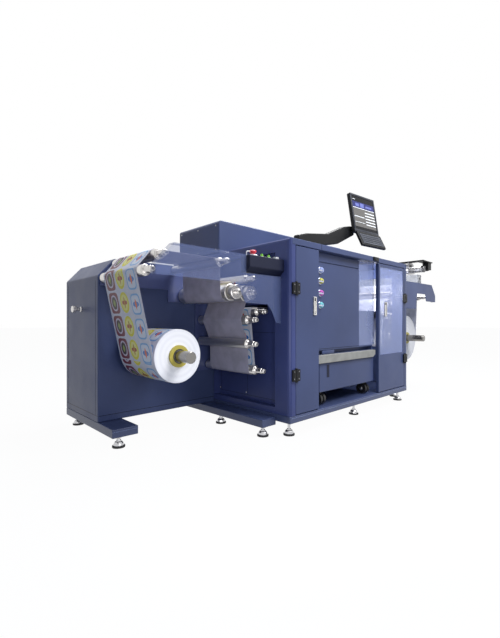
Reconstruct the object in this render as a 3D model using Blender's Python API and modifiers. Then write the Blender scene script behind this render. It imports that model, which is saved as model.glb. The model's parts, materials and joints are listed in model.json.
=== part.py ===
"""Digital label press: rewinder on the left, print body in the middle, unwinder on the right.

Metres, +Z up. The front faces -Y and the web runs along X. The origin is on the floor,
under the middle of the machine.
"""

import math

import bmesh
import bpy
from mathutils import Matrix, Vector

# Clearance between pieces that touch on the real machine
SEAT = 0.0003

# Print body
BODY_LENGTH = 1.628
BODY_DEPTH = 1.300
BODY_BOTTOM = 0.086
BODY_TOP = 1.229
WALL = 0.022
BASE_HEIGHT = 0.046
CORNER_ROUND = 0.024
POST_WIDTH = 0.052
BEAM_HEIGHT = 0.040
BEAM_DEPTH = 0.060
BAY_DEPTH = 0.750
ROOF_THICK = 0.020
FOOT_INSET = 0.060
MIDDLE_FOOT_X = 0.009

# Recessed panel of the left wall
RECESS_DEPTH = 0.054
RECESS_FRONT_INSET = 0.126
RECESS_BOTTOM = 0.172
RECESS_TOP = 1.150
RECESS_WALL = 0.025

# Tall housing on the rear of the roof
UPPER_SETBACK = 0.686
UPPER_REAR_INSET = 0.083
UPPER_HEIGHT = 0.240
UPPER_ROUND = 0.034

# Roll modules, the same on both sides
MODULE_LENGTH = 0.870
MODULE_SETBACK = 0.743
MODULE_BOTTOM = 0.114
MODULE_TOP = 1.096
MODULE_CUT_X = 0.099
MODULE_CUT_Z = 0.109
MODULE_ROUND = 0.006
BASE_BAR_BOTTOM = 0.064
BASE_BAR_ROUND = 0.004
OUTER_BAR_WIDTH = 0.154
OUTER_BAR_REACH = 0.203
INNER_BAR_WIDTH = 0.121
INNER_BAR_REACH = 0.627
FRONT_FOOT_INSET = 0.043
REAR_FOOT_INSET = 0.075
MIDDLE_FOOT_SETBACK = 0.572
OUTER_FOOT_INSET = 0.055
INNER_FOOT_INSET = 0.074
END_KNOB = dict(setback=0.267, z=0.792)

# Levelling feet
FOOT_PAD_RADIUS = 0.036
FOOT_PAD_HEIGHT = 0.010
FOOT_DOME_RADIUS = 0.029
FOOT_DOME_HEIGHT = 0.024
FOOT_STEM_RADIUS = 0.009
FOOT_STEM_IN_FRAME = 0.012

# Front covers of the roll modules, in steps from the print body (first value) outwards
COVER_SETBACK = 0.0715
COVER_DEPTH = 0.045
COVER_SHEET = 0.004
COVER_LOWER = {
    -1: [(0.0, 0.700), (0.044, 0.706), (0.086, 0.780), (0.123, 0.817), (0.303, 0.821), (0.346, 0.900),
         (0.389, 0.932), (0.870, 0.936)],
    1: [(0.0, 0.835), (0.373, 0.835), (0.401, 0.990), (0.606, 0.990), (0.631, 0.918), (0.870, 0.918)],
}

# Label web and its idlers
WEB_WIDTH = 0.395
WEB_TO_MODULE = 0.083
WEB_THICK = 0.0014
WEB_HEIGHT_IN_BODY = 0.8075
IDLER_RADIUS = 0.030
IDLER_LIP = 0.003
IDLER_SHAFT_RADIUS = 0.013
IDLER_PAST_WEB = 0.040
IDLER_SHAFT_LENGTH = 0.075
GUIDE_RADIUS = 0.027
DRIVE_RADIUS = 0.052
HUB_RADIUS = 0.044
PLATE_THICK = 0.010
PLATE_MARGIN = 0.044
PLATE_TOP_MARGIN = 0.022

# Rolls of label stock
REWIND_ROLL = dict(radius=0.147, inset=0.248, z=0.526)
UNWIND_ROLL = dict(radius=0.237, inset=0.277, z=0.535)
ROLL_EDGE = 0.002
CORE_RADIUS = 0.060
CORE_PROUD = 0.012
ROLL_SHAFT_RADIUS = 0.032
ROLL_SHAFT_EDGE = 0.004
ROLL_SHAFT_PAST_ROLL = {-1: 0.125, 1: 0.185}

# Doors
DOOR_THICK = 0.028
DOOR_GAP = 0.005
DOOR_EDGE = 0.002
LEFT_DOOR_END_X = -0.520
RIGHT_DOOR_START_X = 0.293
DOOR_PIN_PROUD = 0.008
HINGE_RADIUS = 0.0075
HINGE_HEIGHT = 0.074
HINGE_LEAF = 0.030
HINGE_LEVELS = {"upper": 0.918, "lower": 0.382}
HANDLE_INSET = {-1: 0.063, 1: 0.099}
HANDLE_WIDTH = {-1: 0.027, 1: 0.034}
HANDLE_HEIGHT = 0.117
HANDLE_MIDDLE_Z = 0.815
HANDLE_PROUD = 0.007
HANDLE_RIM = 0.006
WINDOW_BORDER = 0.022
WINDOW_BOTTOM = 0.440
WINDOW_THICK = 0.006
WINDOW_RECESS = 0.004

# Print engine in the opening between the doors
FRONT_RECESS = 0.046
ENGINE_TOP = 1.186
ENGINE_LOWER_END_X = 0.270
ENGINE_UPPER_END_X = 0.064
ENGINE_STEP_Z = 0.525
ENGINE_BOTTOM = 0.227
GROOVE_Z = 1.121
GROOVE_WIDTH = 0.006
GROOVE_DEPTH = 0.008
DRAWER_INSET = 0.052
DRAWER_PROUD = 0.012
DRAWER_GAP = 0.004
TRAY_BOTTOM = 0.428
TRAY_HEIGHT = 0.056
TRAY_PROUD = 0.030
TRAY_SLANT = 0.034
CASTOR_RADIUS = 0.042
CASTOR_WHEEL = 0.019
CASTOR_FORK = 0.018
CASTOR_SETBACK = 0.090
CASTORS = {"engine_castor_left": -0.400, "engine_castor_right": 0.196}
PORT_X = -0.445
PORT_RADIUS = 0.020
PORT_PROUD = 0.020
PORTS = {
    "toner_port_blue": (1.064, (0.55, 0.62, 0.90)),
    "toner_port_yellow": (0.990, (0.75, 0.72, 0.15)),
    "toner_port_magenta": (0.908, (0.75, 0.12, 0.50)),
    "toner_port_cyan": (0.826, (0.25, 0.70, 0.80)),
}

# Control box on the left wall
CONTROL_LENGTH = 0.293
CONTROL_DEPTH = 0.076
CONTROL_TOP = 1.093
CONTROL_HEIGHT = 0.098
CONTROL_SLOPE = 0.030
CONTROL_GAP = 0.004
STOP_X = 0.060
GREEN_X = (0.133, 0.191)
WHITE_X = 0.255
WHITE_SIZE = 0.028

# Operator's display on its arm
ARM_POST_X = -0.455
ARM_POST_SETBACK = 0.210
ARM_POST_HEIGHT = 0.055
ARM_LENGTH = 0.680
ARM_THICK = 0.052
ARM_BEHIND_DISPLAY = 0.067
ARM_TO_DISPLAY = 0.055
DISPLAY_WIDTH = 0.340
DISPLAY_HEIGHT = 0.339
DISPLAY_THICK = 0.030
DISPLAY_ROUND = 0.006
DISPLAY_FORWARD = 0.060
DISPLAY_ABOVE_ARM = 0.155
DISPLAY_TURN = math.radians(-5.1)
DISPLAY_LEAN = math.radians(9.4)
KEYBOARD_DEPTH = 0.136
KEYBOARD_THICK = 0.022
KEYBOARD_SLOPE = math.radians(17)

# Web guide above the unwinder
GUIDE_X = 0.536
GUIDE_WIDTH = 0.090
GUIDE_SETBACK = 0.105
GUIDE_PAST_MODULE_FRONT = 0.167
GUIDE_HEIGHT = 0.086
GUIDE_GAP = 0.008
GUIDE_PLATE = 0.010
GUIDE_PLATE_SETBACK = 0.195
GUIDE_ROLLERS = [(-0.016, 0.042), (0.018, 0.096)]
GUIDE_ROLLER_RADIUS = 0.025
MOTOR_RADIUS = 0.034
MOTOR_LENGTH = 0.115
MOTOR_OFFSET = 0.070
MOTOR_Z = 0.064
SENSOR_LIFT = 0.130

# Clear guard beside the engine
GUARD_THICK = 0.005
GUARD_OVERLAP = 0.010

HALF_X = BODY_LENGTH / 2
HALF_Y = BODY_DEPTH / 2
END_X = HALF_X + MODULE_LENGTH
BASE_TOP = BODY_BOTTOM + BASE_HEIGHT
BEAM_BOTTOM = BODY_TOP - BEAM_HEIGHT
ROOF_BOTTOM = BODY_TOP - ROOF_THICK
BAY_BACK_Y = -HALF_Y + BAY_DEPTH
UPPER_FRONT_Y = -HALF_Y + UPPER_SETBACK
UPPER_BACK_Y = HALF_Y - UPPER_REAR_INSET
MODULE_FRONT_Y = -HALF_Y + MODULE_SETBACK
WEB_BACK_Y = MODULE_FRONT_Y - WEB_TO_MODULE
GUIDE_FRONT_Y = -HALF_Y + GUIDE_SETBACK
GUIDE_BACK_Y = MODULE_FRONT_Y + GUIDE_PAST_MODULE_FRONT
GUIDE_PLATE_Y = -HALF_Y + GUIDE_PLATE_SETBACK
COVER_FRONT_Y = -HALF_Y + COVER_SETBACK
COVER_BACK_Y = COVER_FRONT_Y + COVER_DEPTH
ENGINE_FRONT_Y = -HALF_Y + FRONT_RECESS
CONTROL_FRONT_Y = -HALF_Y + FRONT_RECESS
ARM_POST_Y = -HALF_Y + ARM_POST_SETBACK
IDLER_FRONT_Y = WEB_BACK_Y - WEB_WIDTH - IDLER_PAST_WEB
PLATE_FRONT_Y = MODULE_FRONT_Y - SEAT - PLATE_THICK

# Idlers by name: distance out from the print body, height and radius
ROLLERS = {
    "A": (MODULE_LENGTH - 0.032, 0.972, IDLER_RADIUS),
    "B": (MODULE_LENGTH - 0.106, 1.060, IDLER_RADIUS),
    "G1": (0.360, 1.062, GUIDE_RADIUS),
    "R1": (0.276, 0.889, DRIVE_RADIUS),
    "G2": (0.151, 0.977, GUIDE_RADIUS),
    "R2": (0.154, 0.889, DRIVE_RADIUS),
    "L1": (0.133, 0.724, IDLER_RADIUS),
    "L2": (0.135, 0.574, IDLER_RADIUS),
    "L3": (0.067, 0.402, IDLER_RADIUS),
    "R4": (0.048, WEB_HEIGHT_IN_BODY - IDLER_RADIUS - WEB_THICK / 2 - SEAT, IDLER_RADIUS),
}
WEB_ORDER = [("A", -1), ("B", -1), ("G1", -1), ("R1", 1), ("R2", -1), ("L1", 1), ("L2", -1),
             ("L3", 1), ("R4", -1)]
PASSAGE = {
    -1: dict(front=WEB_BACK_Y - WEB_WIDTH - 0.025, back=WEB_BACK_Y + 0.035,
             bottom=WEB_HEIGHT_IN_BODY - 0.018, top=WEB_HEIGHT_IN_BODY + 0.018),
    1: dict(front=COVER_BACK_Y + 0.0135, back=MODULE_FRONT_Y - 0.033, bottom=0.470, top=1.120),
}

BLUE = dict(colour=(0.045, 0.060, 0.160), roughness=0.38)
DARK_BLUE = dict(colour=(0.012, 0.016, 0.055), roughness=0.45)
CHROME = dict(colour=(0.75, 0.75, 0.76), roughness=0.14, metallic=1.0)
STEEL = dict(colour=(0.55, 0.56, 0.58), roughness=0.30, metallic=1.0)
BLACK = dict(colour=(0.012, 0.012, 0.014), roughness=0.45)
PAPER = dict(colour=(0.85, 0.85, 0.86), roughness=0.60)
BEIGE = dict(colour=(0.55, 0.53, 0.49), roughness=0.50)
GREY = dict(colour=(0.42, 0.42, 0.43), roughness=0.45)
CLEAR = dict(colour=(0.45, 0.52, 0.75), roughness=0.10)
RED = dict(colour=(0.60, 0.02, 0.03), roughness=0.35)
GREEN = dict(colour=(0.10, 0.45, 0.05), roughness=0.35)
WHITE = dict(colour=(0.75, 0.75, 0.75), roughness=0.40)

COLLECTION = "digital_label_press"
CUTTERS = "cutters"


def clear_scene():
    """Remove what is in the file and make the two collections."""
    for item in list(bpy.data.objects):
        bpy.data.objects.remove(item, do_unlink=True)
    for name in (COLLECTION, CUTTERS):
        if name not in bpy.data.collections:
            bpy.context.scene.collection.children.link(bpy.data.collections.new(name))


def paint(obj, colour, roughness, metallic=0.0):
    """Give an object its own Principled material."""
    material = bpy.data.materials.new(obj.name + "_finish")
    material.use_nodes = True
    shader = material.node_tree.nodes["Principled BSDF"]
    shader.inputs["Base Color"].default_value = (*colour, 1.0)
    shader.inputs["Roughness"].default_value = roughness
    shader.inputs["Metallic"].default_value = metallic
    obj.data.materials.clear()
    obj.data.materials.append(material)
    return obj


def new_object(name, bm, cutter=False):
    """Turn a bmesh into an object in the machine's or the cutters' collection."""
    mesh = bpy.data.meshes.new(name)
    bmesh.ops.recalc_face_normals(bm, faces=bm.faces)
    bm.to_mesh(mesh)
    bm.free()
    obj = bpy.data.objects.new(name, mesh)
    bpy.data.collections[CUTTERS if cutter else COLLECTION].objects.link(obj)
    if cutter:
        obj.hide_render = True
        obj.display_type = "WIRE"
    return obj


def box_mesh(low, high):
    """Return a bmesh box between two corners."""
    bm = bmesh.new()
    size = [high[i] - low[i] for i in range(3)]
    middle = [(high[i] + low[i]) / 2 for i in range(3)]
    bmesh.ops.create_cube(bm, size=1.0, matrix=Matrix.Translation(middle) @ Matrix.Diagonal((*size, 1.0)))
    return bm


def box(name, low, high, round_off=0.0, segments=2, cutter=False):
    """Make a box between two corners, with its edges rounded where asked."""
    obj = new_object(name, box_mesh(low, high), cutter)
    if round_off > 0:
        bevel(obj, round_off, segments)
    return obj


def bevel(obj, width, segments=2, angle=math.radians(40)):
    """Round the edges that are sharper than the given angle."""
    modifier = obj.modifiers.new("edge_round", "BEVEL")
    modifier.width = width
    modifier.segments = segments
    modifier.limit_method = "ANGLE"
    modifier.angle_limit = angle
    modifier.use_clamp_overlap = True


def cylinder_mesh(start, end, radius, sides=24):
    """Return a bmesh cylinder between two points."""
    bm = bmesh.new()
    start = Vector(start)
    end = Vector(end)
    along = end - start
    turn = along.to_track_quat("Z", "Y").to_matrix().to_4x4()
    bmesh.ops.create_cone(bm, cap_ends=True, segments=sides, radius1=radius, radius2=radius,
                          depth=along.length, matrix=Matrix.Translation((start + end) / 2) @ turn)
    return bm


def cylinder(name, start, end, radius, sides=24, cutter=False):
    """Make a cylinder between two points."""
    return new_object(name, cylinder_mesh(start, end, radius, sides), cutter)


def turned(name, profile, place, axis=(0, 0, 1), steps=24, cutter=False):
    """Turn a profile of (radius, height) points about an axis, top of the profile first."""
    bm = bmesh.new()
    points = [bm.verts.new((radius, 0.0, height)) for radius, height in profile]
    for first, second in zip(points, points[1:]):
        bm.edges.new((first, second))
    mesh = bpy.data.meshes.new(name)
    bm.to_mesh(mesh)
    bm.free()
    obj = bpy.data.objects.new(name, mesh)
    bpy.data.collections[CUTTERS if cutter else COLLECTION].objects.link(obj)
    screw = obj.modifiers.new("turn", "SCREW")
    screw.steps = steps
    screw.render_steps = steps
    screw.use_merge_vertices = True
    screw.merge_threshold = 0.00005
    obj.matrix_world = Matrix.Translation(place) @ Vector(axis).to_track_quat("Z", "Y").to_matrix().to_4x4()
    if cutter:
        obj.hide_render = True
        obj.display_type = "WIRE"
    return obj


def flat_shape(name, outline, y_low, y_high, cutter=False):
    """Extrude an outline of (x, z) points between two planes of constant y."""
    curve = bpy.data.curves.new(name, "CURVE")
    curve.dimensions = "2D"
    curve.fill_mode = "BOTH"
    curve.extrude = (y_high - y_low) / 2
    spline = curve.splines.new("POLY")
    spline.points.add(len(outline) - 1)
    for point, (x, z) in zip(spline.points, outline):
        point.co = (x, z, 0.0, 1.0)
    spline.use_cyclic_u = True
    obj = bpy.data.objects.new(name, curve)
    bpy.data.collections[COLLECTION].objects.link(obj)
    obj.matrix_world = Matrix.Translation((0, (y_low + y_high) / 2, 0)) @ Matrix.Rotation(math.pi / 2, 4, "X")
    return as_mesh(obj, cutter)


def as_mesh(obj, cutter=False):
    """Replace a curve by its closed mesh, in the same place."""
    name = obj.name
    bpy.context.view_layer.update()
    graph = bpy.context.evaluated_depsgraph_get()
    mesh = bpy.data.meshes.new_from_object(obj.evaluated_get(graph))
    matrix = obj.matrix_world.copy()
    bm = bmesh.new()
    bm.from_mesh(mesh)
    bmesh.ops.remove_doubles(bm, verts=bm.verts, dist=0.00002)
    bmesh.ops.transform(bm, matrix=matrix, verts=bm.verts)
    bpy.data.objects.remove(obj, do_unlink=True)
    bpy.data.meshes.remove(mesh)
    return new_object(name, bm, cutter)


def boolean(obj, other, operation):
    """Join or cut an object with another one, which becomes a hidden helper."""
    helper = bpy.data.collections[CUTTERS]
    if other.name not in helper.objects:
        for owner in list(other.users_collection):
            owner.objects.unlink(other)
        helper.objects.link(other)
    other.hide_render = True
    other.display_type = "WIRE"
    modifier = obj.modifiers.new(operation.lower(), "BOOLEAN")
    modifier.operation = operation
    modifier.solver = "EXACT"
    modifier.object = other


def cut(obj, cutter):
    boolean(obj, cutter, "DIFFERENCE")


def join(obj, piece):
    boolean(obj, piece, "UNION")


def origin_to(obj, place):
    """Put an object's origin at a place without moving the object."""
    obj.data.transform(Matrix.Translation(-Vector(place)))
    obj.location = place


def span(side, first, second):
    """Return the lower and upper X of a stretch that runs outwards on one side of the machine."""
    return min(side * first, side * second), max(side * first, side * second)


def foot_profile(top):
    """Profile of a levelling foot, from its stem in the frame down to its rubber pad."""
    neck = FOOT_STEM_RADIUS * 1.6
    neck_top = FOOT_PAD_HEIGHT + FOOT_DOME_HEIGHT + 0.006
    points = [(0.0, top), (FOOT_STEM_RADIUS, top), (FOOT_STEM_RADIUS, neck_top), (neck, neck_top)]
    for angle in (90, 62, 34, 6):
        turn = math.radians(angle)
        points.append((neck + (FOOT_DOME_RADIUS - neck) * math.cos(turn),
                       FOOT_PAD_HEIGHT + FOOT_DOME_HEIGHT * math.sin(turn)))
    points += [(FOOT_PAD_RADIUS, FOOT_PAD_HEIGHT), (FOOT_PAD_RADIUS, 0.0), (0.0, 0.0)]
    return points


def add_feet(frame, places, frame_bottom):
    """Screw levelling feet up into the underside of a frame."""
    for index, (x, y) in enumerate(places):
        foot = turned(f"{frame.name}_foot_{index + 1}", foot_profile(frame_bottom + FOOT_STEM_IN_FRAME),
                      (x, y, 0.0), steps=16)
        join(frame, foot)


def make_module_housing(side, prefix):
    """Make the closed cabinet behind the rollers, with the slanted upper outer edge."""
    inner = HALF_X + SEAT
    outline = [(inner, MODULE_BOTTOM + SEAT), (END_X, MODULE_BOTTOM + SEAT),
               (END_X, MODULE_TOP - MODULE_CUT_Z), (END_X - MODULE_CUT_X, MODULE_TOP), (inner, MODULE_TOP)]
    cabinet = flat_shape(prefix + "_cabinet", [(side * x, z) for x, z in outline], MODULE_FRONT_Y, HALF_Y)
    bevel(cabinet, MODULE_ROUND, 2, math.radians(30))
    return paint(cabinet, **BLUE)


def make_module_bases(side, prefix):
    """Make the two floor bars of a module with their feet."""
    outer_front = MODULE_FRONT_Y - OUTER_BAR_REACH
    inner_front = MODULE_FRONT_Y - INNER_BAR_REACH
    rear_foot = HALF_Y - REAR_FOOT_INSET
    outer_feet = [outer_front + FRONT_FOOT_INSET, rear_foot]
    inner_feet = [inner_front + FRONT_FOOT_INSET, -HALF_Y + MIDDLE_FOOT_SETBACK, rear_foot]
    for name, first, second, front, foot_out, feet in (
            ("_outer_base", END_X - OUTER_BAR_WIDTH, END_X, outer_front, END_X - OUTER_FOOT_INSET, outer_feet),
            ("_inner_base", HALF_X + SEAT, HALF_X + INNER_BAR_WIDTH, inner_front, HALF_X + INNER_FOOT_INSET,
             inner_feet)):
        low_x, high_x = span(side, first, second)
        bar = box(prefix + name, (low_x, front, BASE_BAR_BOTTOM), (high_x, HALF_Y, MODULE_BOTTOM),
                  BASE_BAR_ROUND)
        add_feet(bar, [(side * foot_out, y) for y in feet], BASE_BAR_BOTTOM)
        paint(bar, **BLUE)


def cover_top(side, inset=0.0):
    """Upper edge of a front cover, from its outer end to the print body."""
    return [(side * (END_X - inset), MODULE_TOP - MODULE_CUT_Z - inset * 0.4),
            (side * (END_X - MODULE_CUT_X - inset * 0.4), MODULE_TOP - inset)]


def make_front_cover(side, prefix):
    """Make the front cover, a thin tray that is open behind and below."""
    inner = side * (HALF_X + SEAT)
    lower = [(side * max(HALF_X + out, HALF_X + SEAT), z) for out, z in COVER_LOWER[side]]
    outline = lower + cover_top(side)
    if side < 0:
        notch_x = -HALF_X - CONTROL_LENGTH - CONTROL_GAP
        notch_z = CONTROL_TOP - CONTROL_HEIGHT - CONTROL_GAP
        outline += [(notch_x, MODULE_TOP), (notch_x, notch_z), (inner, notch_z)]
    else:
        outline.append((inner, MODULE_TOP))
    cover = flat_shape(prefix + "_front_cover", outline, COVER_FRONT_Y, COVER_BACK_Y)
    past_body = side * (HALF_X - 0.050)
    below = min(z for out, z in COVER_LOWER[side]) - 0.050
    inside = [(past_body, below), (side * (END_X - COVER_SHEET), below)] + cover_top(side, COVER_SHEET)
    inside.append((past_body, MODULE_TOP - COVER_SHEET))
    hollow = flat_shape(prefix + "_cover_hollow", inside, COVER_FRONT_Y + COVER_SHEET, COVER_BACK_Y + 0.010,
                        cutter=True)
    cut(cover, hollow)
    return paint(cover, **CLEAR) if side < 0 else paint(cover, **BLUE)


def idler_profile(radius):
    """Half section of an idler, front shaft first, running back to its foot in the side plate."""
    length = PLATE_FRONT_Y - IDLER_FRONT_Y
    shaft_end = length + IDLER_SHAFT_LENGTH
    foot = IDLER_LIP * 4
    points = [(0.0, shaft_end), (IDLER_SHAFT_RADIUS - 0.002, shaft_end),
              (IDLER_SHAFT_RADIUS, shaft_end - 0.002)]
    if radius == DRIVE_RADIUS:
        points += [(IDLER_SHAFT_RADIUS, length + 0.046), (HUB_RADIUS - 0.004, length + 0.046),
                   (HUB_RADIUS, length + 0.042), (HUB_RADIUS, length + 0.018), (0.026, length + 0.018)]
        points.append((0.026, length))
    else:
        points.append((IDLER_SHAFT_RADIUS, length))
    points += [(radius - IDLER_LIP, length), (radius, length - IDLER_LIP), (radius, foot),
               (IDLER_SHAFT_RADIUS, foot), (IDLER_SHAFT_RADIUS, -PLATE_THICK / 2), (0.0, -PLATE_THICK / 2)]
    return points


def plate_outline():
    """Outline of a side plate: three steps that cover the low, the middle and the outer idlers."""
    inner = HALF_X + 0.012
    low = [ROLLERS[name] for name in ("L1", "L2", "L3", "R4")]
    middle = [ROLLERS[name] for name in ("R1", "R2", "G1", "G2")]
    first_out = HALF_X + max(out for out, z, radius in low) + PLATE_MARGIN
    first_z = min(z for out, z, radius in low) - PLATE_MARGIN
    second_out = HALF_X + max(out for out, z, radius in middle) + PLATE_MARGIN
    second_z = min(z for out, z, radius in middle) - PLATE_MARGIN
    third_z = ROLLERS["A"][1] - PLATE_MARGIN
    end = HALF_X + ROLLERS["A"][0] + PLATE_TOP_MARGIN
    end_z = ROLLERS["A"][1] + PLATE_TOP_MARGIN / 2
    top_out = HALF_X + ROLLERS["B"][0]
    top_z = ROLLERS["B"][1] + PLATE_TOP_MARGIN
    return [(inner, first_z), (first_out, first_z), (first_out, second_z), (second_out, second_z),
            (second_out, third_z), (end, third_z), (end, end_z), (top_out, top_z), (inner, top_z)]


def make_roller_frame(side, prefix):
    """Make the side plate on the cabinet's face with every idler that it carries."""
    frame = flat_shape(prefix + "_roller_frame", [(side * x, z) for x, z in plate_outline()],
                       PLATE_FRONT_Y, MODULE_FRONT_Y - SEAT)
    for name, (out, z, radius) in ROLLERS.items():
        place = (side * (HALF_X + out), PLATE_FRONT_Y, z)
        join(frame, turned(f"{prefix}_idler_{name}", idler_profile(radius), place, axis=(0, -1, 0), steps=20))
    return paint(frame, **CHROME)


def web_run(wheels, last):
    """Route the web's middle line round wheels given as (x, z, radius, side), then to a last point.

    Side is +1 where the wheel lies on the left of the travel and -1 on the right.
    """
    gap = SEAT + WEB_THICK / 2
    stops = [(x, z, (radius + gap) * turn) for x, z, radius, turn in wheels]
    stops.append((last[0], last[1], 0.0))
    headings = []
    for (x1, z1, r1), (x2, z2, r2) in zip(stops, stops[1:]):
        reach = math.hypot(x2 - x1, z2 - z1)
        headings.append(math.atan2(z2 - z1, x2 - x1) - math.asin((r2 - r1) / reach))
    points = []
    for index, (x, z, radius) in enumerate(stops[:-1]):
        first = headings[index - 1] if index else headings[0]
        turn = headings[index] - first
        if index and radius > 0:
            turn %= 2 * math.pi
        elif index:
            turn = -((-turn) % (2 * math.pi))
        steps = max(1, math.ceil(abs(turn) / math.radians(12)))
        for step in range(steps + 1 if index else 1):
            heading = first + turn * step / steps
            points.append((x + radius * math.sin(heading), z - radius * math.cos(heading)))
    points.append(last)
    return points


def make_web(side, prefix, roll):
    """Make the label web from its roll round the idlers to the print body."""
    wheels = [(-END_X + roll["inset"], roll["z"], roll["radius"], -1)]
    for name, turn in WEB_ORDER:
        out, z, radius = ROLLERS[name]
        wheels.append((-HALF_X - out, z, radius, turn))
    end_x = LEFT_DOOR_END_X - 0.002 if side < 0 else -(ENGINE_UPPER_END_X + 0.002)
    points = [(-side * x, z) for x, z in web_run(wheels, (end_x, WEB_HEIGHT_IN_BODY))]
    bm = bmesh.new()
    row = [bm.verts.new((x, WEB_BACK_Y - WEB_WIDTH, z)) for x, z in points]
    edges = [bm.edges.new(pair) for pair in zip(row, row[1:])]
    made = bmesh.ops.extrude_edge_only(bm, edges=edges)["geom"]
    moved = [item for item in made if isinstance(item, bmesh.types.BMVert)]
    bmesh.ops.translate(bm, verts=moved, vec=(0, WEB_WIDTH, 0))
    web = new_object(prefix + "_web", bm)
    wall = web.modifiers.new("thickness", "SOLIDIFY")
    wall.thickness = WEB_THICK
    wall.offset = 0.0
    wall.use_even_offset = True
    return paint(web, **PAPER)


def make_roll(side, name, roll):
    """Make a roll of label stock and the core and shaft that it turns with."""
    centre = (side * (END_X - roll["inset"]), MODULE_FRONT_Y, roll["z"])
    back = MODULE_FRONT_Y - WEB_BACK_Y
    front = back + WEB_WIDTH
    radius = roll["radius"]
    bore = CORE_RADIUS + SEAT
    section = [(bore, front), (radius - ROLL_EDGE, front), (radius, front - ROLL_EDGE),
               (radius, back + ROLL_EDGE), (radius - ROLL_EDGE, back), (bore, back), (bore, front)]
    stock = turned(name + "_roll", section, centre, axis=(0, -1, 0), steps=64)
    paint(stock, **PAPER)
    shaft_end = front + ROLL_SHAFT_PAST_ROLL[side]
    section = [(0.0, shaft_end), (ROLL_SHAFT_RADIUS - ROLL_SHAFT_EDGE, shaft_end),
               (ROLL_SHAFT_RADIUS, shaft_end - ROLL_SHAFT_EDGE), (ROLL_SHAFT_RADIUS, front + CORE_PROUD),
               (CORE_RADIUS, front + CORE_PROUD), (CORE_RADIUS, back - CORE_PROUD),
               (ROLL_SHAFT_RADIUS, back - CORE_PROUD), (ROLL_SHAFT_RADIUS, SEAT), (0.0, SEAT)]
    shaft = turned(name + "_core_shaft", section, centre, axis=(0, -1, 0), steps=40)
    return paint(shaft, **STEEL)


def make_end_knob(side, prefix):
    """Make the stepped locking knob on a cabinet's outer end."""
    profile = [(0.0, 0.058), (0.019, 0.058), (0.021, 0.055), (0.021, 0.036), (0.012, 0.030),
               (0.012, 0.010), (0.016, 0.006), (0.016, 0.0), (0.0, 0.0)]
    place = (side * (END_X + SEAT), MODULE_FRONT_Y + END_KNOB["setback"], END_KNOB["z"])
    return paint(turned(prefix + "_end_knob", profile, place, axis=(side, 0, 0), steps=28), **CHROME)


def make_web_guide():
    """Make the guide above the unwinder: its beam, its rollers with their motor, and its sensor arm."""
    middle = HALF_X + GUIDE_X
    low = MODULE_TOP + GUIDE_GAP
    top = low + GUIDE_HEIGHT
    left = middle - GUIDE_WIDTH / 2
    right = middle + GUIDE_WIDTH / 2
    beam = box("unwinder_guide_beam", (left, GUIDE_FRONT_Y, low), (right, GUIDE_BACK_Y, top), 0.003)
    foot = box("guide_foot", (left + 0.006, MODULE_FRONT_Y + 0.010, MODULE_TOP + SEAT),
               (right - 0.006, GUIDE_BACK_Y - 0.010, low + 0.010), cutter=True)
    join(beam, foot)
    hole = cylinder("guide_hole", (middle, GUIDE_FRONT_Y - 0.010, low + GUIDE_HEIGHT / 2),
                    (middle, GUIDE_FRONT_Y + 0.030, low + GUIDE_HEIGHT / 2), 0.020, cutter=True)
    cut(beam, hole)
    paint(beam, **GREY)
    seat = top + SEAT
    outline = [(left, seat), (right, seat), (right + 0.060, seat + 0.030), (right + 0.060, seat + 0.100),
               (right, seat + SENSOR_LIFT), (left, seat + SENSOR_LIFT)]
    rollers = flat_shape("unwinder_guide_rollers", outline, GUIDE_PLATE_Y, GUIDE_PLATE_Y + GUIDE_PLATE)
    rear = flat_shape("guide_rear_plate", outline, MODULE_FRONT_Y, MODULE_FRONT_Y + GUIDE_PLATE, cutter=True)
    join(rollers, rear)
    for index, (shift, lift) in enumerate(GUIDE_ROLLERS):
        start = (middle + shift, GUIDE_PLATE_Y + GUIDE_PLATE / 2, seat + lift)
        end = (middle + shift, MODULE_FRONT_Y + GUIDE_PLATE / 2, seat + lift)
        join(rollers, cylinder(f"guide_roller_{index + 1}", start, end, GUIDE_ROLLER_RADIUS, 28))
    motor_x = middle + MOTOR_OFFSET
    profile = [(0.0, MOTOR_LENGTH), (MOTOR_RADIUS - 0.004, MOTOR_LENGTH), (MOTOR_RADIUS, MOTOR_LENGTH - 0.004),
               (MOTOR_RADIUS, -0.005), (0.0, -0.005)]
    motor = turned("guide_motor", profile, (motor_x, GUIDE_PLATE_Y, seat + MOTOR_Z), axis=(0, -1, 0), steps=28)
    join(rollers, motor)
    paint(rollers, **STEEL)
    arm_low = seat + SENSOR_LIFT + SEAT
    front = GUIDE_FRONT_Y - 0.055
    arm = box("unwinder_sensor_arm", (left + 0.010, front, arm_low),
              (right - 0.020, MODULE_FRONT_Y, arm_low + 0.014), 0.002)
    cross = box("sensor_cross_arm", (left + 0.012, front + 0.002, arm_low + 0.002),
                (right + 0.162, front + 0.080, arm_low + 0.012), cutter=True)
    head = box("sensor_head", (right + 0.070, front + 0.010, arm_low - 0.072),
               (right + 0.150, front + 0.070, arm_low + 0.008), 0.004)
    for piece in (cross, head):
        join(arm, piece)
    paint(arm, **BLACK)


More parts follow.
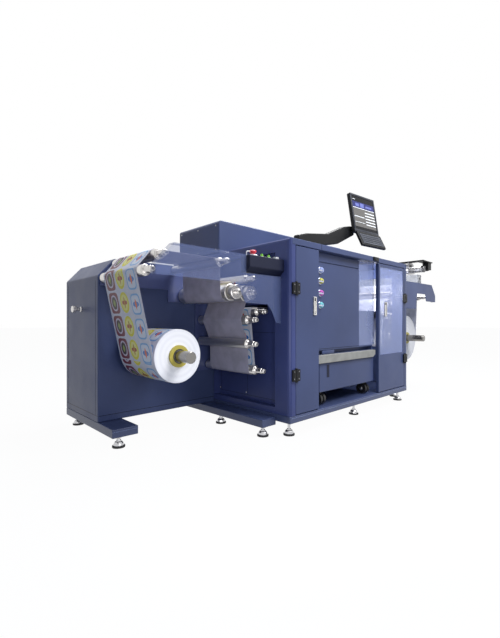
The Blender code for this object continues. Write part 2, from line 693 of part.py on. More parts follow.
def make_left_wall_recess(wall, wall_low):
    """Thicken the left wall behind its recessed panel and sink the panel."""
    inside = -HALF_X + WALL - 0.005
    panel_x = -HALF_X + RECESS_DEPTH
    liner = box("left_wall_liner", (inside, -HALF_Y + BEAM_DEPTH + 0.004, wall_low),
                (panel_x + RECESS_WALL, BAY_BACK_Y - SEAT, ROOF_BOTTOM - SEAT), cutter=True)
    join(wall, liner)
    recess = box("left_wall_recess", (-HALF_X - 0.010, -HALF_Y + RECESS_FRONT_INSET, RECESS_BOTTOM),
                 (panel_x, MODULE_FRONT_Y, RECESS_TOP), cutter=True)
    cut(wall, recess)


def make_wall(side, name, wall_low):
    """Make one side wall with its door post and the passage for the web."""
    inside_x = HALF_X - WALL
    low_x, high_x = span(side, inside_x, HALF_X)
    wall = box(name, (low_x, -HALF_Y, wall_low), (high_x, HALF_Y, BODY_TOP))
    low_x, high_x = span(side, HALF_X - POST_WIDTH, inside_x + 0.005)
    post = box(name + "_post", (low_x, -HALF_Y, wall_low), (high_x, -HALF_Y + DOOR_THICK, BEAM_BOTTOM - SEAT),
               cutter=True)
    join(wall, post)
    bevel(wall, CORNER_ROUND if side < 0 else CORNER_ROUND / 2, 3)
    wall.modifiers["edge_round"].limit_method = "WEIGHT"
    weigh_front_edges(wall, side)
    move_first(wall, "edge_round")
    if side < 0:
        make_left_wall_recess(wall, wall_low)
    slot = PASSAGE[side]
    low_x, high_x = span(side, HALF_X + 0.050, HALF_X - 0.100)
    passage = box(name + "_passage", (low_x, slot["front"], slot["bottom"]),
                  (high_x, slot["back"], slot["top"]), cutter=True)
    cut(wall, passage)
    return paint(wall, **BLUE)


def make_body_shell():
    """Make the base, walls, roof, front frame and closed rear of the print body."""
    inside_x = HALF_X - WALL - SEAT
    base = box("main_base", (-HALF_X, -HALF_Y, BODY_BOTTOM), (HALF_X, HALF_Y, BASE_TOP), 0.006)
    add_feet(base, [(x, y) for y in (-HALF_Y + FOOT_INSET, HALF_Y - FOOT_INSET)
                    for x in (-HALF_X + FOOT_INSET, MIDDLE_FOOT_X, HALF_X - FOOT_INSET)], BODY_BOTTOM)
    paint(base, **BLUE)
    wall_low = BASE_TOP + SEAT
    for side, name in ((-1, "main_left_wall"), (1, "main_right_wall")):
        make_wall(side, name, wall_low)
    rear = box("main_rear_housing", (-inside_x, BAY_BACK_Y, wall_low), (inside_x, HALF_Y, ROOF_BOTTOM - SEAT))
    paint(rear, **DARK_BLUE)
    roof = box("main_roof", (-inside_x, -HALF_Y + BEAM_DEPTH + SEAT, ROOF_BOTTOM),
               (inside_x, HALF_Y, BODY_TOP))
    paint(roof, **BLUE)
    beam = box("main_front_beam", (-inside_x, -HALF_Y, BEAM_BOTTOM),
               (inside_x, -HALF_Y + BEAM_DEPTH, BODY_TOP), 0.004)
    paint(beam, **BLUE)
    upper = box("upper_housing", (-HALF_X, UPPER_FRONT_Y, BODY_TOP + SEAT),
                (HALF_X, UPPER_BACK_Y, BODY_TOP + UPPER_HEIGHT), UPPER_ROUND, 4)
    upper.modifiers["edge_round"].limit_method = "WEIGHT"
    weigh_upper_edges(upper)
    paint(upper, **BLUE)


def edge_weights(obj):
    """Return the bevel weights of a mesh's edges."""
    layer = obj.data.attributes.get("bevel_weight_edge")
    return layer or obj.data.attributes.new("bevel_weight_edge", "FLOAT", "EDGE")


def weigh_front_edges(wall, side):
    """Round the wall's outer front upright edge and its outer upper edge."""
    weights = edge_weights(wall)
    for edge in wall.data.edges:
        first, second = (wall.data.vertices[i].co for i in edge.vertices)
        outer = abs(first.x - side * HALF_X) < 1e-5 and abs(second.x - side * HALF_X) < 1e-5
        front = abs(first.y + HALF_Y) < 1e-5 and abs(second.y + HALF_Y) < 1e-5
        upper = abs(first.z - BODY_TOP) < 1e-5 and abs(second.z - BODY_TOP) < 1e-5
        weights.data[edge.index].value = 1.0 if outer and (front or upper) else 0.0


def weigh_upper_edges(housing):
    """Round the upright corners of the roof housing fully and its upper edges less."""
    weights = edge_weights(housing)
    top = BODY_TOP + UPPER_HEIGHT - 1e-4
    for edge in housing.data.edges:
        heights = sorted(housing.data.vertices[i].co.z for i in edge.vertices)
        ends = [housing.data.vertices[i].co.x for i in edge.vertices]
        if heights[0] > top:
            weights.data[edge.index].value = 1.0 if abs(ends[0] - ends[1]) < 1e-5 else 0.3
        elif heights[1] > top:
            weights.data[edge.index].value = 0.3


def move_first(obj, name):
    """Put a modifier at the top of its object's list."""
    obj.modifiers.move(obj.modifiers.find(name), 0)


def make_castor(name, x):
    """Make a twin-wheel castor that hangs under the engine."""
    y = -HALF_Y + CASTOR_SETBACK
    axle_z = BASE_TOP + SEAT + CASTOR_RADIUS
    half_fork = CASTOR_FORK / 2
    castor = box(name, (x - half_fork, y - 0.016, axle_z - 0.010),
                 (x + half_fork, y + 0.016, ENGINE_BOTTOM - SEAT))
    for side in (-1, 1):
        start = (x + side * (half_fork - 0.002), y, axle_z)
        end = (x + side * (half_fork + CASTOR_WHEEL), y, axle_z)
        join(castor, cylinder(f"{name}_wheel_{side + 2}", start, end, CASTOR_RADIUS, 24))
    paint(castor, **BLACK)


def make_engine():
    """Make the print engine in the opening, its drawer, tray, castors, toner ports and guard."""
    left = LEFT_DOOR_END_X + SEAT
    end = ENGINE_LOWER_END_X
    outline = [(left, ENGINE_BOTTOM), (end, ENGINE_BOTTOM), (end, ENGINE_STEP_Z),
               (ENGINE_UPPER_END_X, ENGINE_STEP_Z), (ENGINE_UPPER_END_X, ENGINE_TOP), (left, ENGINE_TOP)]
    engine = flat_shape("engine_body", outline, ENGINE_FRONT_Y, BAY_BACK_Y - SEAT)
    cut(engine, box("engine_groove", (left - 0.010, ENGINE_FRONT_Y - 0.010, GROOVE_Z - GROOVE_WIDTH / 2),
                    (ENGINE_UPPER_END_X - 0.012, ENGINE_FRONT_Y + GROOVE_DEPTH, GROOVE_Z + GROOVE_WIDTH / 2),
                    cutter=True))
    tray_top = TRAY_BOTTOM + TRAY_HEIGHT
    cut(engine, box("engine_tray_gap", (left - 0.010, ENGINE_FRONT_Y - 0.010, tray_top + 0.002),
                    (end - 0.012, ENGINE_FRONT_Y + 0.040, ENGINE_STEP_Z - 0.010), cutter=True))
    paint(engine, **BLUE)
    drawer = box("engine_drawer",
                 (LEFT_DOOR_END_X + DRAWER_INSET, ENGINE_FRONT_Y - DRAWER_PROUD, ENGINE_BOTTOM + DRAWER_GAP),
                 (end - DRAWER_GAP, ENGINE_FRONT_Y - SEAT, TRAY_BOTTOM - DRAWER_GAP), 0.003)
    paint(drawer, **BLUE)
    tray_left = LEFT_DOOR_END_X + 0.010
    tray_right = end - 0.002
    section = [(tray_left, TRAY_BOTTOM), (tray_right - TRAY_SLANT, TRAY_BOTTOM),
               (tray_right, TRAY_BOTTOM + 0.020), (tray_right, tray_top), (tray_left, tray_top)]
    tray = flat_shape("engine_tray", section, ENGINE_FRONT_Y - TRAY_PROUD, ENGINE_FRONT_Y - SEAT)
    bevel(tray, 0.003)
    paint(tray, **BEIGE)
    for name, x in CASTORS.items():
        make_castor(name, x)
    section = [(0.0, PORT_PROUD), (PORT_RADIUS - 0.004, PORT_PROUD), (PORT_RADIUS, PORT_PROUD - 0.006),
               (PORT_RADIUS, SEAT), (0.0, SEAT)]
    for name, (height, colour) in PORTS.items():
        port = turned(name, section, (PORT_X, ENGINE_FRONT_Y, height), axis=(0, -1, 0), steps=20)
        paint(port, colour, 0.35)
    guard = box("engine_side_guard", (ENGINE_UPPER_END_X + SEAT, ENGINE_FRONT_Y + 0.002, ENGINE_STEP_Z + SEAT),
                (RIGHT_DOOR_START_X + GUARD_OVERLAP, ENGINE_FRONT_Y + 0.002 + GUARD_THICK, ENGINE_TOP))
    paint(guard, **CLEAR)


def make_handle(side, name, free_x, seat_y):
    """Make a door's pull, a shallow framed recess in a metal plate."""
    x = free_x + side * HANDLE_INSET[side]
    right = x + HANDLE_WIDTH[side]
    low = HANDLE_MIDDLE_Z - HANDLE_HEIGHT / 2
    high = HANDLE_MIDDLE_Z + HANDLE_HEIGHT / 2
    handle = box(name + "_door_handle", (x, seat_y - HANDLE_PROUD, low), (right, seat_y - SEAT, high))
    grip = box(name + "_grip_cut", (x + HANDLE_RIM, seat_y - 0.020, low + HANDLE_RIM + 0.002),
               (right - HANDLE_RIM, seat_y - 0.003, high - HANDLE_RIM - 0.002), cutter=True)
    cut(handle, grip)
    return paint(handle, **STEEL)


def make_hinge(side, name, level, hinge_x, pin_y):
    """Make one hinge: its barrel on the pin and the leaf on the door."""
    middle = HINGE_LEVELS[level]
    low = middle - HINGE_HEIGHT / 2
    high = middle + HINGE_HEIGHT / 2
    hinge = cylinder(f"{name}_door_hinge_{level}", (hinge_x, pin_y, low), (hinge_x, pin_y, high),
                     HINGE_RADIUS, 20)
    low_x, high_x = sorted((hinge_x, hinge_x - side * HINGE_LEAF))
    leaf = box(f"{hinge.name}_leaf", (low_x, pin_y - 0.006, low + 0.001),
               (high_x, -HALF_Y - SEAT, high - 0.001), cutter=True)
    join(hinge, leaf)
    paint(hinge, **BLACK)
    for piece in (hinge, leaf):
        origin_to(piece, (hinge_x, pin_y, 0))


def make_doors():
    """Make the two front doors with their hinges, pulls and the right door's clear pane."""
    front = -HALF_Y
    back = front + DOOR_THICK
    low = BASE_TOP + DOOR_GAP
    high = BEAM_BOTTOM - DOOR_GAP
    pin_y = front - DOOR_PIN_PROUD
    for side, name, free_x in ((-1, "left", LEFT_DOOR_END_X), (1, "right", RIGHT_DOOR_START_X)):
        hinge_x = side * (HALF_X - POST_WIDTH)
        left, right = sorted((hinge_x - side * DOOR_GAP, free_x))
        door = box(name + "_door", (left, front, low), (right, back, high))
        seat_y = front
        moving = [door]
        if side > 0:
            seat_y = front + WINDOW_RECESS
            pane_low = (left + WINDOW_BORDER, front - 0.010, WINDOW_BOTTOM)
            pane_high = (right - WINDOW_BORDER, back + 0.010, high - WINDOW_BORDER)
            cut(door, box("right_door_window_cut", pane_low, pane_high, cutter=True))
            pane = box("right_door_pane", (pane_low[0] + SEAT, seat_y, pane_low[2] + SEAT),
                       (pane_high[0] - SEAT, seat_y + WINDOW_THICK, pane_high[2] - SEAT))
            moving.append(paint(pane, **CLEAR))
        paint(door, **BLUE)
        bevel(door, DOOR_EDGE, 1)
        move_first(door, "edge_round")
        moving.append(make_handle(side, name, free_x, seat_y))
        for piece in moving:
            origin_to(piece, (hinge_x, pin_y, 0))
        for level in HINGE_LEVELS:
            make_hinge(side, name, level, hinge_x, pin_y)


def make_control_box():
    """Make the control box beside the front cover, carried by the left wall, with its buttons."""
    right = -HALF_X - SEAT
    left = right - CONTROL_LENGTH
    low = CONTROL_TOP - CONTROL_HEIGHT
    front = CONTROL_FRONT_Y
    back = front + CONTROL_DEPTH
    case = box("control_box", (left, front, low), (right, back, CONTROL_TOP))
    slope = flat_shape("control_box_slope", [(front - 0.010, low - 0.010), (front + 0.045, low - 0.010),
                                             (front + CONTROL_SLOPE, low), (front, low + CONTROL_SLOPE),
                                             (front - 0.010, low + CONTROL_SLOPE)],
                       left - 0.010, right + 0.010, cutter=True)
    slope.data.transform(Matrix(((0, 1, 0, 0), (1, 0, 0, 0), (0, 0, 1, 0), (0, 0, 0, 1))))
    slope.data.flip_normals()
    cut(case, slope)
    bevel(case, 0.004, 2)
    paint(case, **DARK_BLUE)
    middle_y = front + CONTROL_DEPTH / 2
    seat = CONTROL_TOP + SEAT
    profile = [(0.0, 0.034), (0.016, 0.034), (0.021, 0.030), (0.021, 0.022), (0.014, 0.018), (0.014, 0.0),
               (0.0, 0.0)]
    stop = turned("emergency_stop", profile, (left + STOP_X, middle_y, seat), steps=24)
    paint(stop, **RED)
    section = [(0.0, 0.022), (0.006, 0.022), (0.008, 0.012), (0.012, 0.010), (0.012, 0.0), (0.0, 0.0)]
    for index, offset in enumerate(GREEN_X):
        button = turned(f"green_button_{index + 1}", section, (left + offset, middle_y, seat), steps=20)
        paint(button, **GREEN)
    white_x = left + WHITE_X
    half = WHITE_SIZE / 2
    white = box("white_button", (white_x - half, middle_y - half, seat),
                (white_x + half, middle_y + half, seat + 0.016), 0.002)
    paint(white, **WHITE)


def arm_outline():
    """Side outline of the display arm, in X from its post and height above the roof."""
    low = ARM_POST_HEIGHT + SEAT
    reach = ARM_LENGTH
    return [(-0.045, low), (reach * 0.38, low + 0.006), (reach * 0.66, low + 0.044), (reach, low + 0.148),
            (reach, low + 0.222), (reach * 0.90, low + 0.212), (reach * 0.77, low + 0.192),
            (reach * 0.44, low + 0.100), (0.035, low + 0.062), (-0.045, low + 0.040)]


def make_monitor():
    """Make the operator's display with its sloping keyboard, on a swivelling arm."""
    post = (ARM_POST_X, ARM_POST_Y, BODY_TOP)
    profile = [(0.0, ARM_POST_HEIGHT), (0.034, ARM_POST_HEIGHT), (0.036, 0.016), (0.050, 0.010),
               (0.050, SEAT), (0.0, SEAT)]
    base = turned("monitor_base", profile, post, steps=28)
    paint(base, **BLACK)
    arm = flat_shape("monitor_arm", arm_outline(), -ARM_THICK / 2, ARM_THICK / 2)
    bevel(arm, 0.008, 2)
    low = ARM_POST_HEIGHT + SEAT
    bracket = box("monitor_bracket", (ARM_LENGTH - 0.044, -ARM_TO_DISPLAY, low + 0.172),
                  (ARM_LENGTH - 0.006, 0.0, low + 0.210), cutter=True)
    join(arm, bracket)
    clearance = box("monitor_clearance", (-0.020, -DISPLAY_THICK / 2 - 0.020, -SEAT),
                    (DISPLAY_WIDTH + 0.020, DISPLAY_THICK / 2 + SEAT, DISPLAY_HEIGHT), cutter=True)
    cut(arm, clearance)
    paint(arm, **BLACK)
    for piece in (arm, bracket):
        piece.location = post
    display = box("monitor_display", (0.0, -DISPLAY_THICK / 2, 0.0),
                  (DISPLAY_WIDTH, DISPLAY_THICK / 2, DISPLAY_HEIGHT), DISPLAY_ROUND, 3)
    keyboard = box("monitor_keyboard", (0.004, -KEYBOARD_THICK, -KEYBOARD_DEPTH),
                   (DISPLAY_WIDTH - 0.004, 0.0, 0.0), 0.004)
    corner = Vector((ARM_POST_X + ARM_LENGTH - ARM_BEHIND_DISPLAY, ARM_POST_Y - DISPLAY_FORWARD,
                     BODY_TOP + low + DISPLAY_ABOVE_ARM))
    tilt = Matrix.Rotation(DISPLAY_TURN, 4, "Z") @ Matrix.Rotation(-DISPLAY_LEAN, 4, "X")
    display.matrix_world = Matrix.Translation(corner) @ tilt
    clearance.matrix_world = display.matrix_world
    drop = (DISPLAY_ROUND + SEAT) / math.cos(KEYBOARD_SLOPE) - DISPLAY_ROUND
    edge = Matrix.Translation((0, DISPLAY_ROUND - DISPLAY_THICK / 2, -drop))
    keyboard.matrix_world = display.matrix_world @ edge @ Matrix.Rotation(-KEYBOARD_SLOPE, 4, "X")
    for piece in (display, keyboard):
        paint(piece, **BLACK)


def make_machine():
    """Build the whole press."""
    clear_scene()
    for side, prefix in ((-1, "rewinder"), (1, "unwinder")):
        make_module_housing(side, prefix)
        make_module_bases(side, prefix)
        make_front_cover(side, prefix)
        make_roller_frame(side, prefix)
        make_end_knob(side, prefix)
    make_web(-1, "rewinder", REWIND_ROLL)
    make_web(1, "unwinder", UNWIND_ROLL)
    make_roll(-1, "rewind", REWIND_ROLL)
    make_roll(1, "unwind", UNWIND_ROLL)
    make_web_guide()
    make_body_shell()
    make_engine()
    make_doors()
    make_control_box()
    make_monitor()


make_machine()
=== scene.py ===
"""Looks of a digital label press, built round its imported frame.

The frame holds the solids. This script dresses them and adds the finer pieces: the printed web,
turned rollers and feet, door furniture, the display, and the finish of every surface.
"""

from __future__ import annotations

import json
import logging
import math
from dataclasses import dataclass, field
from enum import Enum
from typing import Iterable, Sequence

import bmesh
import bpy
from mathutils import Matrix, Vector

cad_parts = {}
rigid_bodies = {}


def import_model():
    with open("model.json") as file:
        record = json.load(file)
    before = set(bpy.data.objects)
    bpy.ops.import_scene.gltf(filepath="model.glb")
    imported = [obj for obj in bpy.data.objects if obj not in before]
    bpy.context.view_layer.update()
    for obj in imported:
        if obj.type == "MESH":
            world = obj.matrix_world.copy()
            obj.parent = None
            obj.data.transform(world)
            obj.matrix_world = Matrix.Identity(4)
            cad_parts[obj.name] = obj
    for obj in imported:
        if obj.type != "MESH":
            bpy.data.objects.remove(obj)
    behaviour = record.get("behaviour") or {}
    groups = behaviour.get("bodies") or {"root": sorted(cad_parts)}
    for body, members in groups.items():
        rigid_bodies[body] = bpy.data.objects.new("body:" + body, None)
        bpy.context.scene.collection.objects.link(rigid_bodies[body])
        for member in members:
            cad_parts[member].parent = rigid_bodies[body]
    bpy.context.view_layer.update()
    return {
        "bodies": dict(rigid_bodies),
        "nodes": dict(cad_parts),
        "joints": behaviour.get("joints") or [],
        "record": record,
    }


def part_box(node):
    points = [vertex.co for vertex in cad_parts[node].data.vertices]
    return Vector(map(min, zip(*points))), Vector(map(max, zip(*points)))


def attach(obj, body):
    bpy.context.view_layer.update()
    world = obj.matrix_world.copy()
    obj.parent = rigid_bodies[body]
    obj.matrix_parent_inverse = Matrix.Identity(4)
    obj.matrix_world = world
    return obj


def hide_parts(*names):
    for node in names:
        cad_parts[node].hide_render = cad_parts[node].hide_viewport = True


log = logging.getLogger("label_press")

Point = tuple[float, float, float]
Flat = tuple[float, float]
Corners = tuple[float, float, float, float]
Station = tuple[float, float, float, float]
Colour = tuple[float, float, float]


class Body(Enum):
    """The bodies that carry the pieces made here."""

    MACHINE = "machine"
    LEFT_DOOR = "left_door_leaf"
    RIGHT_DOOR = "right_door_leaf"
    DISPLAY = "display_arm"


class Side(Enum):
    """The two roll modules, by the sign of their X."""

    REWINDER = -1
    UNWINDER = 1


def srgb(red: int, green: int, blue: int) -> Colour:
    """Turn a screen colour of 0 to 255 into the linear colour that a shader takes.

    Args:
        red, green, blue: The screen colour.

    Returns:
        The linear colour.
    """
    def linear(value: float) -> float:
        """Undo the screen's curve for one channel."""
        value /= 255.0
        return value / 12.92 if value <= 0.04045 else ((value + 0.055) / 1.055) ** 2.4
    return (linear(red), linear(green), linear(blue))


class NodeBench:
    """Short hands for laying out a material's nodes."""

    def __init__(self, name: str) -> None:
        """Start a material with its Principled shader.

        Args:
            name: The material's name.
        """
        self.material = bpy.data.materials.new(name)
        self.material.use_nodes = True
        self.tree = self.material.node_tree
        self.shader = self.tree.nodes["Principled BSDF"]
        self.coords = self.add("ShaderNodeTexCoord")

    def add(self, kind: str, **settings: object) -> bpy.types.Node:
        """Add a node and set its properties.

        Args:
            kind: Blender's name of the node type.
            settings: Properties to set on it.

        Returns:
            The node.
        """
        node = self.tree.nodes.new(kind)
        for key, value in settings.items():
            setattr(node, key, value)
        return node

    def link(self, source: bpy.types.NodeSocket, target: bpy.types.NodeSocket) -> None:
        """Join an output to an input."""
        self.tree.links.new(source, target)

    def math(self, operation: str, first: object, second: object = 0.0,
             clamp: bool = False) -> bpy.types.NodeSocket:
        """Add a math node.

        Args:
            operation: Blender's name of the operation.
            first: A socket or a number.
            second: A socket or a number.
            clamp: Whether the result stays between 0 and 1.

        Returns:
            The result's socket.
        """
        node = self.add("ShaderNodeMath", operation=operation, use_clamp=clamp)
        for index, value in enumerate((first, second)):
            if isinstance(value, (int, float)):
                node.inputs[index].default_value = value
            else:
                self.link(value, node.inputs[index])
        return node.outputs[0]

    def mapping(self, source: str = "Object", scale: Point = (1, 1, 1), turn: Point = (0, 0, 0),
                shift: Point = (0, 0, 0)) -> bpy.types.NodeSocket:
        """Return scaled and turned coordinates.

        Args:
            source: Which coordinates.
            scale: Scale along each axis.
            turn: Rotation in radians.
            shift: Offset in metres.

        Returns:
            The socket that carries it.
        """
        node = self.add("ShaderNodeMapping")
        node.inputs["Scale"].default_value = scale
        node.inputs["Rotation"].default_value = turn
        node.inputs["Location"].default_value = shift
        self.link(self.coords.outputs[source], node.inputs["Vector"])
        return node.outputs["Vector"]

    def noise(self, scale: float, detail: float = 3.0,
              vector: bpy.types.NodeSocket | None = None) -> bpy.types.NodeSocket:
        """Return a noise value between 0 and 1.

        Args:
            scale: How fine the noise is.
            detail: How many octaves it has.
            vector: Its coordinates, or none for the object's own.

        Returns:
            The socket that carries it.
        """
        node = self.add("ShaderNodeTexNoise")
        node.inputs["Scale"].default_value = scale
        node.inputs["Detail"].default_value = detail
        self.link(vector or self.coords.outputs["Object"], node.inputs["Vector"])
        return node.outputs["Fac"]

    def ramp(self, value: bpy.types.NodeSocket,
             stops: Sequence[tuple[float, Colour]]) -> bpy.types.NodeSocket:
        """Turn a value into a colour.

        Args:
            value: The value from 0 to 1.
            stops: Places with their colours.

        Returns:
            The socket that carries it.
        """
        node = self.add("ShaderNodeValToRGB")
        elements = node.color_ramp.elements
        while len(elements) < len(stops):
            elements.new(0.5)
        for element, (place, colour) in zip(elements, stops):
            element.position = place
            element.color = (*colour, 1.0)
        self.link(value, node.inputs["Fac"])
        return node.outputs["Color"]

    def mix(self, factor: bpy.types.NodeSocket, first: object, second: object) -> bpy.types.NodeSocket:
        """Blend two colours, each a colour or a socket.

        Args:
            factor: Share of the second.
            first, second: Each a colour or a socket.

        Returns:
            The socket that carries it.
        """
        node = self.add("ShaderNodeMix", data_type="RGBA")
        self.link(factor, node.inputs["Factor"])
        for index, value in ((6, first), (7, second)):
            if isinstance(value, bpy.types.NodeSocket):
                self.link(value, node.inputs[index])
            else:
                node.inputs[index].default_value = (*value, 1.0)
        return node.outputs[2]

    def blend(self, factor: bpy.types.NodeSocket, first: object, second: object) -> bpy.types.NodeSocket:
        """Blend two numbers, each a number or a socket."""
        rest = self.math("SUBTRACT", 1.0, factor)
        return self.math("ADD", self.math("MULTIPLY", rest, first), self.math("MULTIPLY", factor, second))

    def reach(self, centre: Flat) -> bpy.types.NodeSocket:
        """Return the distance in the XZ plane from a centre.

        Args:
            centre: The (x, z) centre.

        Returns:
            The socket that carries it.
        """
        x = self.math("SUBTRACT", self.axis("X"), centre[0])
        z = self.math("SUBTRACT", self.axis("Z"), centre[1])
        return self.math("SQRT", self.math("ADD", self.math("MULTIPLY", x, x), self.math("MULTIPLY", z, z)))

    def range(self, value: bpy.types.NodeSocket, low: float, high: float, to_low: float,
              to_high: float) -> bpy.types.NodeSocket:
        """Map one range of values to another.

        Args:
            value: The value to map.
            low, high: The range it comes in.
            to_low, to_high: The range it leaves in.

        Returns:
            The socket that carries it.
        """
        node = self.add("ShaderNodeMapRange")
        self.link(value, node.inputs["Value"])
        for key, number in zip(("From Min", "From Max", "To Min", "To Max"), (low, high, to_low, to_high)):
            node.inputs[key].default_value = number
        return node.outputs["Result"]

    def bump(self, height: bpy.types.NodeSocket, strength: float, distance: float) -> None:
        """Give the shader a bump.

        Args:
            height: The height's socket.
            strength: How strongly it shows.
            distance: The height of 1, in metres.
        """
        node = self.add("ShaderNodeBump")
        node.inputs["Strength"].default_value = strength
        node.inputs["Distance"].default_value = distance
        self.link(height, node.inputs["Height"])
        self.link(node.outputs["Normal"], self.shader.inputs["Normal"])

    def axis(self, name: str, source: str = "Object") -> bpy.types.NodeSocket:
        """Return one of the coordinates X, Y or Z.

        Args:
            name: X, Y or Z.
            source: Which coordinates.

        Returns:
            The socket that carries it.
        """
        node = self.add("ShaderNodeSeparateXYZ")
        self.link(self.coords.outputs[source], node.inputs[0])
        return node.outputs[name]


@dataclass(frozen=True)
class PowderCoat:
    """Satin powder coat on sheet steel, with a fine orange peel."""

    name: str
    colour: Colour
    roughness: float = 0.36
    peel: float = 0.05

    def build(self) -> bpy.types.Material:
        """Make the material.

        Returns:
            The material.
        """
        bench = NodeBench(self.name)
        cloud = bench.noise(1.6, 4.0)
        light = tuple(min(1.0, c * 1.16) for c in self.colour)
        dark = tuple(c * 0.88 for c in self.colour)
        bench.link(bench.ramp(cloud, [(0.30, dark), (0.70, light)]), bench.shader.inputs["Base Color"])
        grain = bench.noise(900.0, 2.0)
        rough = bench.range(bench.noise(7.0, 3.0), 0.3, 0.7, self.roughness - 0.04, self.roughness + 0.05)
        bench.link(rough, bench.shader.inputs["Roughness"])
        bench.bump(grain, self.peel, 0.0004)
        bench.shader.inputs["Specular IOR Level"].default_value = SATIN_SPECULAR
        bench.shader.inputs["Coat Weight"].default_value = 0.03
        bench.shader.inputs["Coat Roughness"].default_value = 0.22
        return bench.material


@dataclass(frozen=True)
class TurnedMetal:
    """Bright metal with fine turning marks round the Y axis or plain brushing."""

    name: str
    colour: Colour
    roughness: float
    stretch: Point = (60.0, 900.0, 60.0)
    mark: float = 0.06

    def build(self) -> bpy.types.Material:
        """Make the material.

        Returns:
            The material.
        """
        bench = NodeBench(self.name)
        marks = bench.noise(1.0, 4.0, bench.mapping(scale=self.stretch))
        dull = tuple(c * 0.86 for c in self.colour)
        bench.link(bench.ramp(marks, [(0.35, dull), (0.65, self.colour)]), bench.shader.inputs["Base Color"])
        bench.link(bench.range(marks, 0.3, 0.7, self.roughness * 0.8, self.roughness * 1.25),
                   bench.shader.inputs["Roughness"])
        bench.shader.inputs["Metallic"].default_value = 1.0
        bench.bump(marks, self.mark, 0.0003)
        return bench.material


@dataclass(frozen=True)
class Moulding:
    """Moulded plastic or rubber with a fine texture."""

    name: str
    colour: Colour
    roughness: float = 0.45
    grain_scale: float = 1200.0
    grain: float = 0.10

    def build(self) -> bpy.types.Material:
        """Make the material.

        Returns:
            The material.
        """
        bench = NodeBench(self.name)
        cloud = bench.noise(14.0, 3.0)
        light = tuple(min(1.0, c * 1.12 + 0.002) for c in self.colour)
        dark = tuple(c * 0.90 for c in self.colour)
        bench.link(bench.ramp(cloud, [(0.35, dark), (0.65, light)]), bench.shader.inputs["Base Color"])
        bench.link(bench.range(cloud, 0.3, 0.7, self.roughness - 0.04, self.roughness + 0.04),
                   bench.shader.inputs["Roughness"])
        bench.shader.inputs["Specular IOR Level"].default_value = SATIN_SPECULAR
        bench.bump(bench.noise(self.grain_scale, 2.0), self.grain, 0.0003)
        return bench.material


@dataclass(frozen=True)
class TintedPane:
    """Clear cover with a pale blue tint, seen through."""

    name: str
    colour: Colour
    alpha: float
    roughness: float = 0.12

    def build(self) -> bpy.types.Material:
        """Make the material.

        Returns:
            The material.
        """
        bench = NodeBench(self.name)
        haze = bench.noise(2.2, 3.0)
        deep = tuple(c * 0.92 for c in self.colour)
        bench.link(bench.ramp(haze, [(0.3, deep), (0.7, self.colour)]), bench.shader.inputs["Base Color"])
        bench.link(bench.range(haze, 0.3, 0.7, self.alpha - 0.02, self.alpha + 0.02),
                   bench.shader.inputs["Alpha"])
        bench.shader.inputs["Roughness"].default_value = self.roughness
        bench.shader.inputs["Specular IOR Level"].default_value = 0.3
        return bench.material


@dataclass(frozen=True)
class Motif:
    """One printed mark: half sizes in metres, colour, and the power that rounds its corners."""

    half_width: float
    half_length: float
    colour: Colour
    power: float


@dataclass(frozen=True)
class Column:
    """One column of labels: its middle from the web's edge, its shift in pitches and its motifs."""

    centre: float
    stagger: float
    motifs: Sequence[Motif]


LABEL_COLUMNS = (
    Column(0.070, 0.1, (
        Motif(0.050, 0.056, srgb(126, 178, 226), 4.0), Motif(0.042, 0.047, srgb(226, 232, 244), 4.0),
        Motif(0.032, 0.015, srgb(60, 132, 206), 2.0), Motif(0.012, 0.030, srgb(226, 120, 84), 1.2))),
    Column(0.195, 0.0, (
        Motif(0.051, 0.058, srgb(228, 218, 40), 2.0), Motif(0.038, 0.044, srgb(240, 234, 138), 2.0),
        Motif(0.028, 0.011, srgb(150, 44, 30), 3.0), Motif(0.010, 0.034, srgb(176, 124, 36), 1.2))),
    Column(0.322, 0.0, (
        Motif(0.056, 0.060, srgb(96, 8, 40), 5.0), Motif(0.040, 0.046, srgb(216, 206, 220), 2.2),
        Motif(0.030, 0.036, srgb(34, 20, 34), 2.2), Motif(0.014, 0.022, srgb(150, 168, 90), 1.3))),
)


